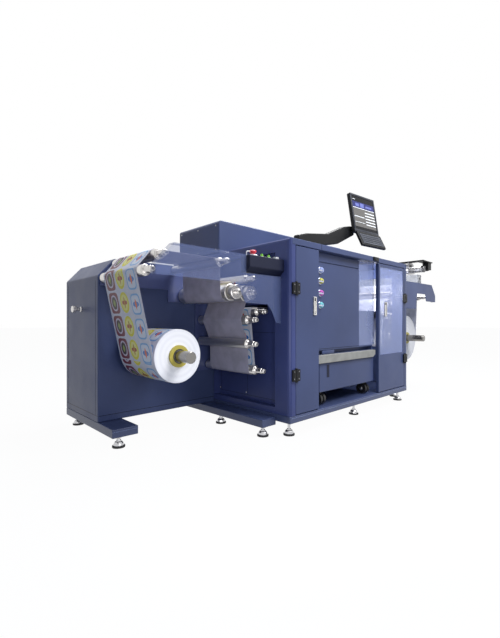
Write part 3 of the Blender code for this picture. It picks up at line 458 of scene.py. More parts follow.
@dataclass(frozen=True)
class LabelPrint:
    """Printed label stock: plain motifs in three staggered rows along the web.

    Without an axis the pattern reads the web's own UV map, in metres: U across the web and V along
    it. With an axis it is wound round a roll, whose end faces stay plain paper.
    """

    name: str
    pitch: float = 0.132
    axis: Flat | None = None
    radius: float = 0.0
    front: float = 0.0

    def build(self) -> bpy.types.Material:
        """Make the material.

        Returns:
            The material.
        """
        bench = NodeBench(self.name)
        across, along = self.measure(bench)
        paper = srgb(226, 226, 234)
        base = bench.ramp(bench.noise(30.0, 2.0), [(0.3, srgb(214, 214, 226)), (0.7, paper)])
        for column in LABEL_COLUMNS:
            base = self.lay(bench, base, across, along, column)
        if self.axis:
            base = self.faces(bench, base)
        bench.link(base, bench.shader.inputs["Base Color"])
        bench.shader.inputs["Roughness"].default_value = 0.42
        bench.shader.inputs["Specular IOR Level"].default_value = 0.45
        bench.bump(bench.noise(600.0, 2.0), 0.03, 0.0002)
        return bench.material

    def measure(self, bench: NodeBench) -> tuple[bpy.types.NodeSocket, bpy.types.NodeSocket]:
        """Return the distances across and along the web.

        Args:
            bench: The material's bench.

        Returns:
            The two sockets, in metres.
        """
        if not self.axis:
            return bench.axis("X", "UV"), bench.axis("Y", "UV")
        x = bench.math("SUBTRACT", bench.axis("X"), self.axis[0])
        z = bench.math("SUBTRACT", bench.axis("Z"), self.axis[1])
        along = bench.math("MULTIPLY", bench.math("ARCTAN2", z, x), self.radius)
        return bench.math("SUBTRACT", bench.axis("Y"), self.front), along

    def faces(self, bench: NodeBench, base: bpy.types.NodeSocket) -> bpy.types.NodeSocket:
        """Leave the wound edges of the paper white, with fine rings.

        Args:
            bench: The material's bench.
            base: The colour of the printed rim.

        Returns:
            The colour of rim and end faces.
        """
        radius = bench.reach(self.axis)
        rings = bench.math("SINE", bench.math("MULTIPLY", radius, 1500.0))
        wide = bench.math("SINE", bench.math("MULTIPLY", radius, 210.0))
        tone = bench.range(bench.math("ADD", rings, wide), -2.0, 2.0, 0.0, 1.0)
        edge = bench.ramp(tone, [(0.0, srgb(230, 230, 236)), (1.0, srgb(246, 246, 249))])
        return bench.mix(bench.math("LESS_THAN", radius, self.radius - 0.0015), base, edge)

    def lay(self, bench: NodeBench, base: bpy.types.NodeSocket, across: bpy.types.NodeSocket,
            along: bpy.types.NodeSocket, column: Column) -> bpy.types.NodeSocket:
        """Lay one column of repeated motifs over the colour so far.

        Args:
            bench: The material's bench.
            base: The colour so far.
            across, along: The web's own coordinates in metres.
            column: The column, whose motifs lie one over the other.

        Returns:
            The new colour.
        """
        sideways = bench.math("SUBTRACT", across, column.centre)
        repeat = bench.math("FRACT", bench.math("ADD", bench.math("DIVIDE", along, self.pitch),
                                                20.0 + column.stagger))
        lengthways = bench.math("MULTIPLY", bench.math("SUBTRACT", repeat, 0.5), self.pitch)
        for motif in column.motifs:
            wide = bench.math("ABSOLUTE", bench.math("DIVIDE", sideways, motif.half_width))
            long = bench.math("ABSOLUTE", bench.math("DIVIDE", lengthways, motif.half_length))
            reach = bench.math("ADD", bench.math("POWER", wide, motif.power),
                               bench.math("POWER", long, motif.power))
            base = bench.mix(bench.math("LESS_THAN", reach, 1.0), base, motif.colour)
        return base


@dataclass(frozen=True)
class Band:
    """One band of a banded finish, up to its limit along the axis."""

    limit: float
    colour: Colour
    roughness: float
    metallic: float = 0.0


@dataclass(frozen=True)
class Banded:
    """One finish whose bands follow each other along an axis, such as a painted bar on bright feet.

    The measure is X, Y, Z or radius, which is the distance from the centre in the XZ plane.
    """

    name: str
    measure: str
    bands: Sequence[Band]
    centre: Flat = (0.0, 0.0)
    grain: float = 900.0

    def build(self) -> bpy.types.Material:
        """Make the material.

        Returns:
            The material.
        """
        bench = NodeBench(self.name)
        value = bench.reach(self.centre) if self.measure == "radius" else bench.axis(self.measure)
        last = self.bands[-1]
        colour: object = last.colour
        roughness: object = last.roughness
        metallic: object = last.metallic
        for band in reversed(self.bands[:-1]):
            mask = bench.math("LESS_THAN", value, band.limit)
            colour = bench.mix(mask, colour, band.colour)
            roughness = bench.blend(mask, roughness, band.roughness)
            metallic = bench.blend(mask, metallic, band.metallic)
        cloud = bench.ramp(bench.noise(2.4, 4.0), [(0.3, (0.86, 0.86, 0.86)), (0.7, (1.0, 1.0, 1.0))])
        shade = bench.add("ShaderNodeMix", data_type="RGBA", blend_type="MULTIPLY")
        shade.inputs["Factor"].default_value = 1.0
        bench.link(colour, shade.inputs[6])
        bench.link(cloud, shade.inputs[7])
        bench.link(shade.outputs[2], bench.shader.inputs["Base Color"])
        bench.link(roughness, bench.shader.inputs["Roughness"])
        bench.link(metallic, bench.shader.inputs["Metallic"])
        bench.bump(bench.noise(self.grain, 2.0), 0.04, 0.0003)
        return bench.material


@dataclass(frozen=True)
class WoundPaper:
    """End face and rim of a plain wound roll: fine rings round the reel's axis."""

    name: str
    centre: Flat
    colour: Colour

    def build(self) -> bpy.types.Material:
        """Make the material.

        Returns:
            The material.
        """
        bench = NodeBench(self.name)
        radius = bench.reach(self.centre)
        rings = bench.math("SINE", bench.math("MULTIPLY", radius, 1500.0))
        wide = bench.math("SINE", bench.math("MULTIPLY", radius, 190.0))
        tone = bench.range(bench.math("ADD", rings, wide), -2.0, 2.0, 0.0, 1.0)
        dull = tuple(c * 0.86 for c in self.colour)
        bench.link(bench.ramp(tone, [(0.0, dull), (1.0, self.colour)]), bench.shader.inputs["Base Color"])
        bench.shader.inputs["Roughness"].default_value = 0.46
        bench.bump(rings, 0.10, 0.0004)
        return bench.material


REWIND_AXIS: Flat = (-1.436, 0.526)
UNWIND_AXIS: Flat = (1.407, 0.535)
REWIND_RADIUS = 0.147
WEB_FRONT_Y = -0.385
WEB_BACK_Y = 0.010
BODY_BLUE = srgb(66, 77, 114)
# Painted shade: a deeper, more saturated copy of the body blue, for the left wall, which faces away from the
# lamps.
SHADED_SIDE_BLUE = srgb(62, 72, 122)
BRIGHT: Colour = (0.62, 0.62, 0.64)
BAND_END = 9.0
SATIN_SPECULAR = 0.22


class Finishes:
    """Every finish of the press, each made once."""

    def __init__(self) -> None:
        """Make the materials."""
        self.blue = PowderCoat("blue_coat", BODY_BLUE).build()
        self.shaded_side_blue = PowderCoat("side_blue_coat", SHADED_SIDE_BLUE).build()
        # A dark copy of the body coat: the colour of the panel seams, and painted shade on the control box
        # and in the drawer's slot.
        self.seam_and_shade_blue = PowderCoat("dark_blue_coat", srgb(20, 25, 48), 0.46).build()
        self.chrome = TurnedMetal("bright_roller", (0.68, 0.66, 0.65), 0.27).build()
        self.steel = TurnedMetal("brushed_steel", (0.60, 0.60, 0.61), 0.30, (500.0, 30.0, 500.0)).build()
        self.dark_steel = TurnedMetal("dark_steel", (0.16, 0.16, 0.17), 0.34).build()
        self.black = Moulding("black_moulding", srgb(16, 17, 20), 0.42).build()
        self.rubber = Moulding("black_rubber", srgb(22, 22, 24), 0.60, 600.0).build()
        self.beige = Moulding("tray_grey", srgb(152, 151, 146), 0.48).build()
        self.grey = Moulding("light_grey", srgb(164, 166, 170), 0.42).build()
        self.red = Moulding("stop_red", srgb(206, 62, 76), 0.34).build()
        self.green = Moulding("start_green", srgb(116, 184, 56), 0.30).build()
        self.white = Moulding("button_white", srgb(236, 236, 236), 0.36).build()
        self.pane = TintedPane("tinted_cover", srgb(112, 126, 172), 0.32).build()
        self.door_pane = TintedPane("tinted_door_pane", srgb(160, 172, 214), 0.52).build()
        self.guard = TintedPane("tinted_guard", srgb(160, 172, 214), 0.45).build()
        self.print = LabelPrint("label_print").build()
        self.print_roll = LabelPrint("label_roll", axis=REWIND_AXIS, radius=REWIND_RADIUS,
                                     front=WEB_FRONT_Y).build()
        self.plain_roll = WoundPaper("plain_roll", UNWIND_AXIS, srgb(236, 236, 240)).build()
        self.paper = Moulding("plain_web", srgb(212, 214, 226), 0.44, 700.0, 0.04).build()
        self.liner = Moulding("web_back", srgb(172, 169, 186), 0.38, 700.0, 0.04).build()
        self.port_blue = Moulding("port_blue", srgb(176, 190, 244), 0.35).build()
        self.port_yellow = Moulding("port_yellow", srgb(222, 218, 110), 0.35).build()
        self.port_magenta = Moulding("port_magenta", srgb(214, 104, 200), 0.35).build()
        self.port_cyan = Moulding("port_cyan", srgb(130, 216, 226), 0.35).build()
        # Painted shade: the rear housing takes a dark copy of the body blue in front of y 0.6, where its
        # faces lie in shade, and keeps the body blue on its back face.
        self.rear = Banded("rear_housing", "Y", (Band(0.600, srgb(34, 40, 74), 0.42),
                                                 Band(BAND_END, BODY_BLUE, 0.38))).build()
        rubber = Band(0.011, srgb(20, 20, 22), 0.6)
        bar_coat = Band(BAND_END, BODY_BLUE, 0.36)
        self.body_base = Banded("base_on_feet", "Z", (rubber, Band(0.0855, BRIGHT, 0.18, 1.0),
                                                      bar_coat)).build()
        self.module_base = Banded("bar_on_feet", "Z", (rubber, Band(0.0635, BRIGHT, 0.18, 1.0),
                                                       bar_coat)).build()
        self.roller_frame = Banded("rollers_on_plate", "Y", (Band(0.0822, (0.74, 0.72, 0.70), 0.36, 1.0),
                                                            Band(BAND_END, srgb(70, 80, 126), 0.36)),
                                   grain=500.0).build()
        core = (Band(0.0335, (0.30, 0.29, 0.28), 0.20, 1.0), Band(0.0400, srgb(40, 38, 34), 0.40),
                Band(BAND_END, srgb(186, 172, 74), 0.48))
        self.rewind_core = Banded("rewind_core", "radius", core, REWIND_AXIS).build()
        self.unwind_core = Banded("unwind_core", "radius", core, UNWIND_AXIS).build()
        self.castor = Banded("castor_tyres", "Z", (Band(0.235, srgb(24, 24, 27), 0.45),
                                                   Band(BAND_END, BRIGHT, 0.3, 1.0))).build()
        self.handle = TurnedMetal("pull_metal", (0.80, 0.79, 0.76), 0.34, (500.0, 500.0, 30.0)).build()
        self.pipe = TurnedMetal("pipe_metal", (0.62, 0.66, 0.80), 0.24, (30.0, 500.0, 500.0)).build()
        self.key_grey = Moulding("key_grey", srgb(74, 77, 86), 0.40).build()
        # Painted highlight: a pale copy of the body blue, laid as thin strips along the bases' front edges.
        self.edge_highlight = PowderCoat("painted_edge_highlight", srgb(132, 146, 186), 0.30).build()
        self.glass = self.glow("display_glass", srgb(10, 12, 18), 0.0)
        self.screen_blue = self.glow("display_blue", srgb(40, 44, 96), 0.5)
        self.screen_grey = self.glow("display_grey", srgb(96, 94, 92), 0.3)
        self.screen_white = self.glow("display_white", srgb(225, 230, 236), 0.6)
        self.screen_pale = self.glow("display_pale", srgb(96, 104, 164), 0.5)
        self.bezel = Moulding("display_bezel", srgb(40, 43, 52), 0.42).build()

    def glow(self, name: str, colour: Colour, strength: float) -> bpy.types.Material:
        """Make a glossy display surface that may shine a little.

        Args:
            name: The material's name.
            colour: Its colour.
            strength: How strongly it shines.

        Returns:
            The material.
        """
        bench = NodeBench(name)
        speck = bench.noise(260.0, 1.0)
        dull = tuple(c * 0.92 for c in colour)
        tint = bench.ramp(speck, [(0.3, dull), (0.7, colour)])
        bench.link(tint, bench.shader.inputs["Base Color"])
        bench.link(tint, bench.shader.inputs["Emission Color"])
        bench.shader.inputs["Emission Strength"].default_value = strength
        bench.shader.inputs["Roughness"].default_value = 0.24
        bench.shader.inputs["Specular IOR Level"].default_value = 0.2
        return bench.material


@dataclass(frozen=True)
class Lamp:
    """One square area light, its width in metres and its power in watts."""

    name: str
    place: Point
    target: Point
    width: float
    power: float


class Studio:
    """Camera, lamps, floor and backdrop."""

    CAMERA: Point = (-2.557, -2.127, 0.720)
    YAW_DEGREES = -43.6
    FOCAL_PIXELS = 374.0
    FRAME_HEIGHT = 638.0
    HORIZON_PIXEL = 320.5
    SENSOR_WIDTH = 36.0
    WHITE = (1.0, 1.0, 1.0, 1.0)
    SKY = (0.66, 0.78, 1.0, 1.0)
    SKY_STRENGTH = 0.36
    FLOOR_COLOUR = (0.16, 0.17, 0.19, 1.0)
    FLOOR_SIZE = 40.0
    FLOOR_WHITE = 1.08
    FLOOR_WHITE_SHARE = 0.90
    LAMPS = (
        Lamp("key", (0.5, -3.1, 4.1), (0.0, -0.4, 0.9), 2.4, 216.0),
        Lamp("top", (0.9, 0.1, 4.6), (0.3, 0.0, 0.9), 2.6, 300.0),
        Lamp("left_fill", (-5.5, -1.0, 2.4), (-1.0, 0.0, 0.7), 2.6, 2.0),
        Lamp("bay_light", (0.30, -0.40, 1.00), (1.05, -0.15, 0.85), 0.18, 9.0),
        Lamp("web_light", (-1.7, -1.5, 0.55), (-0.92, -0.2, 0.33), 0.6, 5.0),
    )

    def build(self) -> None:
        """Make the camera, the lights and the floor."""
        self.set_camera()
        self.set_world()
        self.set_lamps()
        self.set_floor()

    def set_camera(self) -> None:
        """Place the camera where the photograph was taken from."""
        data = bpy.data.cameras.new("photo_camera")
        data.sensor_fit = "AUTO"
        data.sensor_width = self.SENSOR_WIDTH
        data.lens = self.FOCAL_PIXELS / self.FRAME_HEIGHT * data.sensor_width
        data.shift_y = (self.HORIZON_PIXEL - self.FRAME_HEIGHT / 2) / self.FRAME_HEIGHT
        camera = bpy.data.objects.new("photo_camera", data)
        camera.location = self.CAMERA
        camera.rotation_euler = (math.radians(90), 0.0, math.radians(self.YAW_DEGREES))
        bpy.context.scene.collection.objects.link(camera)
        bpy.context.scene.camera = camera

    def set_world(self) -> None:
        """Light the press evenly from all round, and show white behind it."""
        world = bpy.data.worlds.new("studio")
        world.use_nodes = True
        tree = world.node_tree
        tree.nodes.clear()
        seen = tree.nodes.new("ShaderNodeBackground")
        seen.inputs["Color"].default_value = self.WHITE
        seen.inputs["Strength"].default_value = 1.0
        lit = tree.nodes.new("ShaderNodeBackground")
        lit.inputs["Color"].default_value = self.SKY
        lit.inputs["Strength"].default_value = self.SKY_STRENGTH
        mix = tree.nodes.new("ShaderNodeMixShader")
        tree.links.new(self.sees_background(tree), mix.inputs["Fac"])
        tree.links.new(lit.outputs[0], mix.inputs[1])
        tree.links.new(seen.outputs[0], mix.inputs[2])
        out = tree.nodes.new("ShaderNodeOutputWorld")
        tree.links.new(mix.outputs[0], out.inputs["Surface"])
        bpy.context.scene.world = world
        bpy.context.scene.view_settings.view_transform = "Standard"

    def sees_background(self, tree: bpy.types.NodeTree) -> bpy.types.NodeSocket:
        """Pick out the rays that show the white background: to the eye, and in metal and glass.

        Args:
            tree: The node tree that asks.

        Returns:
            A socket that is 1 for those rays and 0 for all others.
        """
        path = tree.nodes.new("ShaderNodeLightPath")
        found = path.outputs["Is Camera Ray"]
        for ray in ("Is Transmission Ray", "Is Glossy Ray"):
            either = tree.nodes.new("ShaderNodeMath")
            either.operation = "MAXIMUM"
            tree.links.new(found, either.inputs[0])
            tree.links.new(path.outputs[ray], either.inputs[1])
            found = either.outputs[0]
        return found

    def set_lamps(self) -> None:
        """Hang a large key light over the door side and softer lights round it."""
        for lamp in self.LAMPS:
            data = bpy.data.lights.new(lamp.name, "AREA")
            data.size = lamp.width
            data.energy = lamp.power
            light = bpy.data.objects.new(lamp.name, data)
            light.location = lamp.place
            aim = Vector(lamp.target) - Vector(lamp.place)
            light.rotation_euler = aim.to_track_quat("-Z", "Y").to_euler()
            bpy.context.scene.collection.objects.link(light)

    def set_floor(self) -> None:
        """Lay a white floor that keeps only the soft shadow under the press."""
        bm = bmesh.new()
        bmesh.ops.create_grid(bm, x_segments=1, y_segments=1, size=self.FLOOR_SIZE)
        mesh = bpy.data.meshes.new("floor")
        bm.to_mesh(mesh)
        bm.free()
        floor = bpy.data.objects.new("floor", mesh)
        bpy.context.scene.collection.objects.link(floor)
        material = bpy.data.materials.new("floor_white")
        material.use_nodes = True
        tree = material.node_tree
        tree.nodes.clear()
        diffuse = tree.nodes.new("ShaderNodeBsdfDiffuse")
        diffuse.inputs["Color"].default_value = self.FLOOR_COLOUR
        white = tree.nodes.new("ShaderNodeEmission")
        white.inputs["Color"].default_value = self.WHITE
        white.inputs["Strength"].default_value = self.FLOOR_WHITE
        share = tree.nodes.new("ShaderNodeMath")
        share.operation = "MULTIPLY"
        share.inputs[1].default_value = self.FLOOR_WHITE_SHARE
        tree.links.new(self.sees_background(tree), share.inputs[0])
        mix = tree.nodes.new("ShaderNodeMixShader")
        tree.links.new(share.outputs[0], mix.inputs["Fac"])
        tree.links.new(diffuse.outputs[0], mix.inputs[1])
        tree.links.new(white.outputs[0], mix.inputs[2])
        out = tree.nodes.new("ShaderNodeOutputMaterial")
        tree.links.new(mix.outputs[0], out.inputs["Surface"])
        mesh.materials.append(material)


class Shape:
    """One mesh built up from plain forms, then turned into a dressed piece."""

    def __init__(self, name: str) -> None:
        """Start an empty mesh.

        Args:
            name: The piece's name.
        """
        self.name = name
        self.bm = bmesh.new()

    def box(self, low: Point, high: Point, round_off: float = 0.0, segments: int = 2,
            turn: Matrix | None = None) -> "Shape":
        """Add a box between two corners.

        Args:
            low, high: Opposite corners.
            round_off: Width of the rounded edges.
            segments: Steps of the rounding.
            turn: A matrix laid on the finished box.

        Returns:
            This shape.
        """
        size = [high[i] - low[i] for i in range(3)]
        middle = [(high[i] + low[i]) / 2 for i in range(3)]
        made = bmesh.ops.create_cube(self.bm, size=1.0,
                                     matrix=Matrix.Translation(middle) @ Matrix.Diagonal((*size, 1.0)))
        verts = made["verts"]
        if round_off > 0:
            verts = self.round(verts, round_off, segments)
        if turn is not None:
            bmesh.ops.transform(self.bm, matrix=turn, verts=verts)
        return self

    def round(self, verts: list, width: float, segments: int) -> list:
        """Round every edge between the given vertices and return the new vertices.

        Args:
            verts: The vertices of one plain form.
            width: Width of the rounding.
            segments: Its steps.

        Returns:
            The vertices of the rounded form.
        """
        edges = list({edge for vert in verts for edge in vert.link_edges})
        faces = {face for vert in verts for face in vert.link_faces}
        made = bmesh.ops.bevel(self.bm, geom=edges, offset=width, offset_type="OFFSET", affect="EDGES",
                               segments=segments, profile=0.5, clamp_overlap=True, material=-1)
        faces = {face for face in faces if face.is_valid} | set(made["faces"])
        return list({vert for face in faces for vert in face.verts})

    def frame(self, outer: Corners, inner: Corners, depth: Flat, round_off: float, segments: int,
              turn: Matrix) -> "Shape":
        """Add four bars round an opening: the lower and upper ones full width, the sides between them.

        Args:
            outer, inner: The (x, z, x, z) corners of the frame and of its opening.
            depth: Front and back y.
            round_off: Width of the rounded edges.
            segments: Steps of the rounding.
            turn: A matrix laid on every bar.

        Returns:
            This shape.
        """
        left, low, right, high = outer
        open_left, open_low, open_right, open_high = inner
        for x1, z1, x2, z2 in ((left, low, right, open_low), (left, open_high, right, high),
                               (left, open_low, open_left, open_high),
                               (open_right, open_low, right, open_high)):
            self.box((x1, depth[0], z1), (x2, depth[1], z2), round_off, segments, turn)
        return self

    def turned(self, profile: Sequence[Flat], place: Point, axis: Point = (0, 0, 1),
               steps: int = 48) -> "Shape":
        """Add a profile of (radius, height) points turned about an axis.

        Args:
            profile: The half section, its ends on the axis for a closed body.
            place: Where the profile's zero height lies.
            axis: The direction of the axis.
            steps: Steps of the full turn.

        Returns:
            This shape.
        """
        verts = [self.bm.verts.new((radius, 0.0, height)) for radius, height in profile]
        edges = [self.bm.edges.new(pair) for pair in zip(verts, verts[1:])]
        made = bmesh.ops.spin(self.bm, geom=verts + edges, cent=(0, 0, 0), axis=(0, 0, 1), dvec=(0, 0, 0),
                              angle=math.tau, steps=steps, use_merge=True, use_duplicate=False)
        verts = self.connected(verts, made)
        bmesh.ops.remove_doubles(self.bm, verts=verts, dist=1e-6)
        verts = [vert for vert in verts if vert.is_valid]
        turn = Vector(axis).to_track_quat("Z", "Y").to_matrix().to_4x4()
        bmesh.ops.transform(self.bm, matrix=Matrix.Translation(place) @ turn, verts=verts)
        faces = list({face for vert in verts for face in vert.link_faces})
        bmesh.ops.recalc_face_normals(self.bm, faces=faces)
        return self

    def connected(self, verts: list, made: dict) -> list:
        """Return every vertex that hangs together with the given ones.

        Args:
            verts: Vertices to start from.
            made: What the spin gave back.

        Returns:
            All vertices of that form.
        """
        found = set()
        waiting = [vert for vert in verts if vert.is_valid]
        waiting += [item for item in made["geom_last"]
                    if isinstance(item, bmesh.types.BMVert) and item.is_valid]
        while waiting:
            vert = waiting.pop()
            if vert in found:
                continue
            found.add(vert)
            waiting += [edge.other_vert(vert) for edge in vert.link_edges]
        return list(found)

    def rod(self, start: Point, end: Point, radius: float, steps: int = 32, edge: float = 0.0) -> "Shape":
        """Add a round rod between two points, with its end edges chamfered where asked.

        Args:
            start, end: The middles of its two ends.
            radius: Its radius.
            steps: Steps of the full turn.
            edge: Width of the chamfer, or 0 for none.

        Returns:
            This shape.
        """
        length = (Vector(end) - Vector(start)).length
        axis = tuple((Vector(end) - Vector(start)).normalized())
        profile = [(0.0, length), (radius, length), (radius, 0.0), (0.0, 0.0)]
        if edge > 0:
            profile = [(0.0, length), (radius - edge, length), (radius, length - edge), (radius, edge),
                       (radius - edge, 0.0), (0.0, 0.0)]
        return self.turned(profile, start, axis, steps)

    def tube(self, path: Sequence[Point], radius: float, sides: int = 16) -> "Shape":
        """Add a closed tube that follows a path.

        Args:
            path: Points along its middle.
            radius: Its radius.
            sides: Sides of its section.

        Returns:
            This shape.
        """
        rings = []
        points = [Vector(point) for point in path]
        up = Vector((0.0, 0.0, 1.0))
        for index, point in enumerate(points):
            ahead = points[min(index + 1, len(points) - 1)] - points[max(index - 1, 0)]
            across = ahead.cross(up)
            if across.length < 1e-6:
                across = ahead.cross(Vector((0.0, 1.0, 0.0)))
            across.normalize()
            rise = across.cross(ahead).normalized()
            ring = []
            for step in range(sides):
                angle = math.tau * step / sides
                out = across * math.cos(angle) + rise * math.sin(angle)
                ring.append(self.bm.verts.new(point + out * radius))
            rings.append(ring)
        for first, second in zip(rings, rings[1:]):
            for step in range(sides):
                other = (step + 1) % sides
                self.bm.faces.new((first[step], first[other], second[other], second[step]))
        self.bm.faces.new(list(reversed(rings[0])))
        self.bm.faces.new(rings[-1])
        return self

    def finish(self, material: bpy.types.Material, body: Body, smooth_angle: float = 32.0,
               replaces: Iterable[str] = (),
               second: bpy.types.Material | None = None) -> bpy.types.Object:
        """Turn the mesh into a piece that rides on a body.

        Args:
            material: The piece's material.
            body: The body that carries it.
            smooth_angle: Edges sharper than this, in degrees, stay sharp.
            replaces: Nodes that the piece stands for.
            second: A second material, for the faces with material index 1.

        Returns:
            The piece.
        """
        bmesh.ops.recalc_face_normals(self.bm, faces=self.bm.faces)
        mesh = bpy.data.meshes.new(self.name)
        self.bm.to_mesh(mesh)
        self.bm.free()
        mesh.shade_smooth()
        mesh.set_sharp_from_angle(angle=math.radians(smooth_angle))
        mesh.materials.append(material)
        if second is not None:
            mesh.materials.append(second)
        piece = bpy.data.objects.new(self.name, mesh)
        bpy.context.scene.collection.objects.link(piece)
        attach(piece, body.value)
        for node in replaces:
            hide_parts(node)
        log.info("%s rides on %s", self.name, body.value)
        return piece


@dataclass(frozen=True)
class Wheel:
    """A round piece that the web passes: its axis, its radius and the side it lies on.

    The side is +1 where it lies on the left of the travel and -1 on the right.
    """

    x: float
    z: float
    radius: float
    side: int


BODY_END_X = 0.814
IDLER_END_Y = -0.500
WEB_THICK = 0.0014
WEB_CLEARANCE = 0.0003
REWINDER_WHEELS = (
    Wheel(*REWIND_AXIS, REWIND_RADIUS, -1),
    Wheel(-BODY_END_X - 0.838, 0.972, 0.030, -1),
    Wheel(-BODY_END_X - 0.764, 1.060, 0.030, -1),
    Wheel(-BODY_END_X - 0.360, 1.062, 0.027, -1),
    Wheel(-BODY_END_X - 0.276, 0.889, 0.052, 1),
    Wheel(-BODY_END_X - 0.154, 0.889, 0.052, -1),
    Wheel(-BODY_END_X - 0.133, 0.724, 0.030, 1),
    Wheel(-BODY_END_X - 0.135, 0.574, 0.030, -1),
    Wheel(-BODY_END_X - 0.067, 0.402, 0.030, 1),
    Wheel(-BODY_END_X - 0.048, 0.7765, 0.030, -1),
)
GUIDE_WHEEL = Wheel(-BODY_END_X - 0.151, 0.977, 0.027, -1)
REWINDER_WEB_END: Flat = (-0.522, 0.8075)


@dataclass
class WebPath:
    """The middle line of a web round its wheels, as (x, z, heading, distance) stations."""

    wheels: Sequence[Wheel]
    end: Flat
    step_degrees: float = 7.0

    def stations(self) -> list[Station]:
        """Work out the stations.

        Returns:
            One (x, z, heading, distance) for each station, from the first wheel to the end.
        """
        gap = WEB_CLEARANCE + WEB_THICK / 2
        stops = [(wheel.x, wheel.z, (wheel.radius + gap) * wheel.side) for wheel in self.wheels]
        stops.append((*self.end, 0.0))
        headings = []
        for (x1, z1, r1), (x2, z2, r2) in zip(stops, stops[1:]):
            span = math.hypot(x2 - x1, z2 - z1)
            headings.append(math.atan2(z2 - z1, x2 - x1) - math.asin((r2 - r1) / span))
        line: list[Station] = []
        for index, (x, z, radius) in enumerate(stops[:-1]):
            first = headings[max(index - 1, 0)]
            turn = headings[index] - first
            if index:
                turn = turn % math.tau if radius > 0 else -((-turn) % math.tau)
            steps = max(1, math.ceil(abs(turn) / math.radians(self.step_degrees)))
            for step in range(steps + 1 if index else 1):
                heading = first + turn * step / steps
                self.extend(line, x + radius * math.sin(heading), z - radius * math.cos(heading), heading)
        self.extend(line, *self.end, headings[-1])
        return line

    def extend(self, line: list[Station], x: float, z: float, heading: float) -> None:
        """Add a station and the distance that the web has run there."""
        run = line[-1][3] + math.hypot(x - line[-1][0], z - line[-1][1]) if line else 0.0
        line.append((x, z, heading, run))


@dataclass
class PrintedWeb:
    """The rewinder's label web: print on the left of the travel and the liner on its right."""

    finishes: Finishes
    path: WebPath = field(default_factory=lambda: WebPath(REWINDER_WHEELS, REWINDER_WEB_END))

    def build(self) -> None:
        """Make the web as one closed thin body with its own UV map in metres."""
        shape = Shape("printed_web")
        rows = [self.row(shape, station) for station in self.path.stations()]
        layer = shape.bm.loops.layers.uv.new("web_metres")
        for first, second in zip(rows, rows[1:]):
            for side in range(4):
                other = (side + 1) % 4
                face = shape.bm.faces.new((first[0][side], first[0][other], second[0][other],
                                           second[0][side]))
                face.material_index = 0 if side == 0 else 1
                for loop in face.loops:
                    run = first[1] if loop.vert in first[0] else second[1]
                    loop[layer].uv = (loop.vert.co.y - WEB_FRONT_Y, run)
        shape.bm.faces.new(reversed(rows[0][0])).material_index = 1
        shape.bm.faces.new(rows[-1][0]).material_index = 1
        shape.finish(self.finishes.print, Body.MACHINE, 40.0, ("rewinder_web",),
                     second=self.finishes.liner)

    def row(self, shape: Shape, station: Station) -> tuple[list, float]:
        """Make the four corners of the web's section: left front, left back, right back, right front.

        Args:
            shape: The mesh that takes them.
            station: Its (x, z, heading, distance).

        Returns:
            The four vertices and the distance run.
        """
        x, z, heading, run = station
        half = WEB_THICK / 2
        left = (-math.sin(heading) * half, math.cos(heading) * half)
        corners = ((1, WEB_FRONT_Y), (1, WEB_BACK_Y), (-1, WEB_BACK_Y), (-1, WEB_FRONT_Y))
        verts = [shape.bm.verts.new((x + left[0] * sign, y, z + left[1] * sign)) for sign, y in corners]
        return verts, run


@dataclass
class RollerEnds:
    """Bearing caps, sleeves and end screws on the rollers' free ends, on both modules."""

    finishes: Finishes
    drive_limit: float = 0.04
    drive_cap: float = 0.0445
    drive_front: float = -0.4755
    idler_front: float = -0.4325
    drive_seat: float = 0.4315
    cap_depth: float = 0.0065
    bore: float = 0.0132
    sleeve_length: float = 0.066

    def build(self) -> None:
        """Make the end pieces of both modules."""
        for side in Side:
            bright = Shape(f"{side.name.lower()}_roller_collars")
            dark = Shape(f"{side.name.lower()}_roller_screws")
            for wheel in (*REWINDER_WHEELS[1:], GUIDE_WHEEL):
                x = wheel.x if side is Side.REWINDER else -wheel.x
                drive = wheel.radius > self.drive_limit
                self.collar(bright, x, wheel.z, self.drive_cap if drive else wheel.radius - 0.004)
                self.screw(dark, x, wheel.z)
            bright.finish(self.finishes.chrome, Body.MACHINE)
            dark.finish(self.finishes.dark_steel, Body.MACHINE)

    def collar(self, shape: Shape, x: float, z: float, radius: float) -> None:
        """Add a bearing cap with a stepped rim before the roller's free end, and its sleeve.

        Args:
            shape: The mesh that takes it.
            x, z: Its axis.
            radius: Its outer radius, by which a drive roller is known.
        """
        drive = radius > self.drive_limit
        front = self.drive_front if drive else self.idler_front
        depth = self.cap_depth
        profile = [(self.bore, 0.0), (radius, 0.0), (radius, 0.004), (radius - 0.003, depth),
                   (self.bore, depth), (self.bore, 0.0)]
        shape.turned(profile, (x, front + depth, z), (0, -1, 0), 40)
        stub = -front - self.drive_seat if drive else 0.0
        length = self.sleeve_length - stub
        sleeve = [(0.0, 0.0), (0.0185, 0.0), (0.0185, length - 0.020), (0.0160, length - 0.018),
                  (0.0160, length - 0.004), (0.0130, length), (0.0, length)]
        shape.turned(sleeve, (x, front, z), (0, -1, 0), 36)

    def screw(self, shape: Shape, x: float, z: float) -> None:
        """Add the end screw with its socket ring.

        Args:
            shape: The mesh that takes it.
            x, z: Its axis.
        """
        profile = [(0.0, 0.0), (0.0065, 0.0), (0.0065, 0.003), (0.0055, 0.004), (0.003, 0.004),
                   (0.003, 0.0015), (0.0, 0.0015)]
        shape.turned(profile, (x, IDLER_END_Y + 0.0020, z), (0, -1, 0), 20)


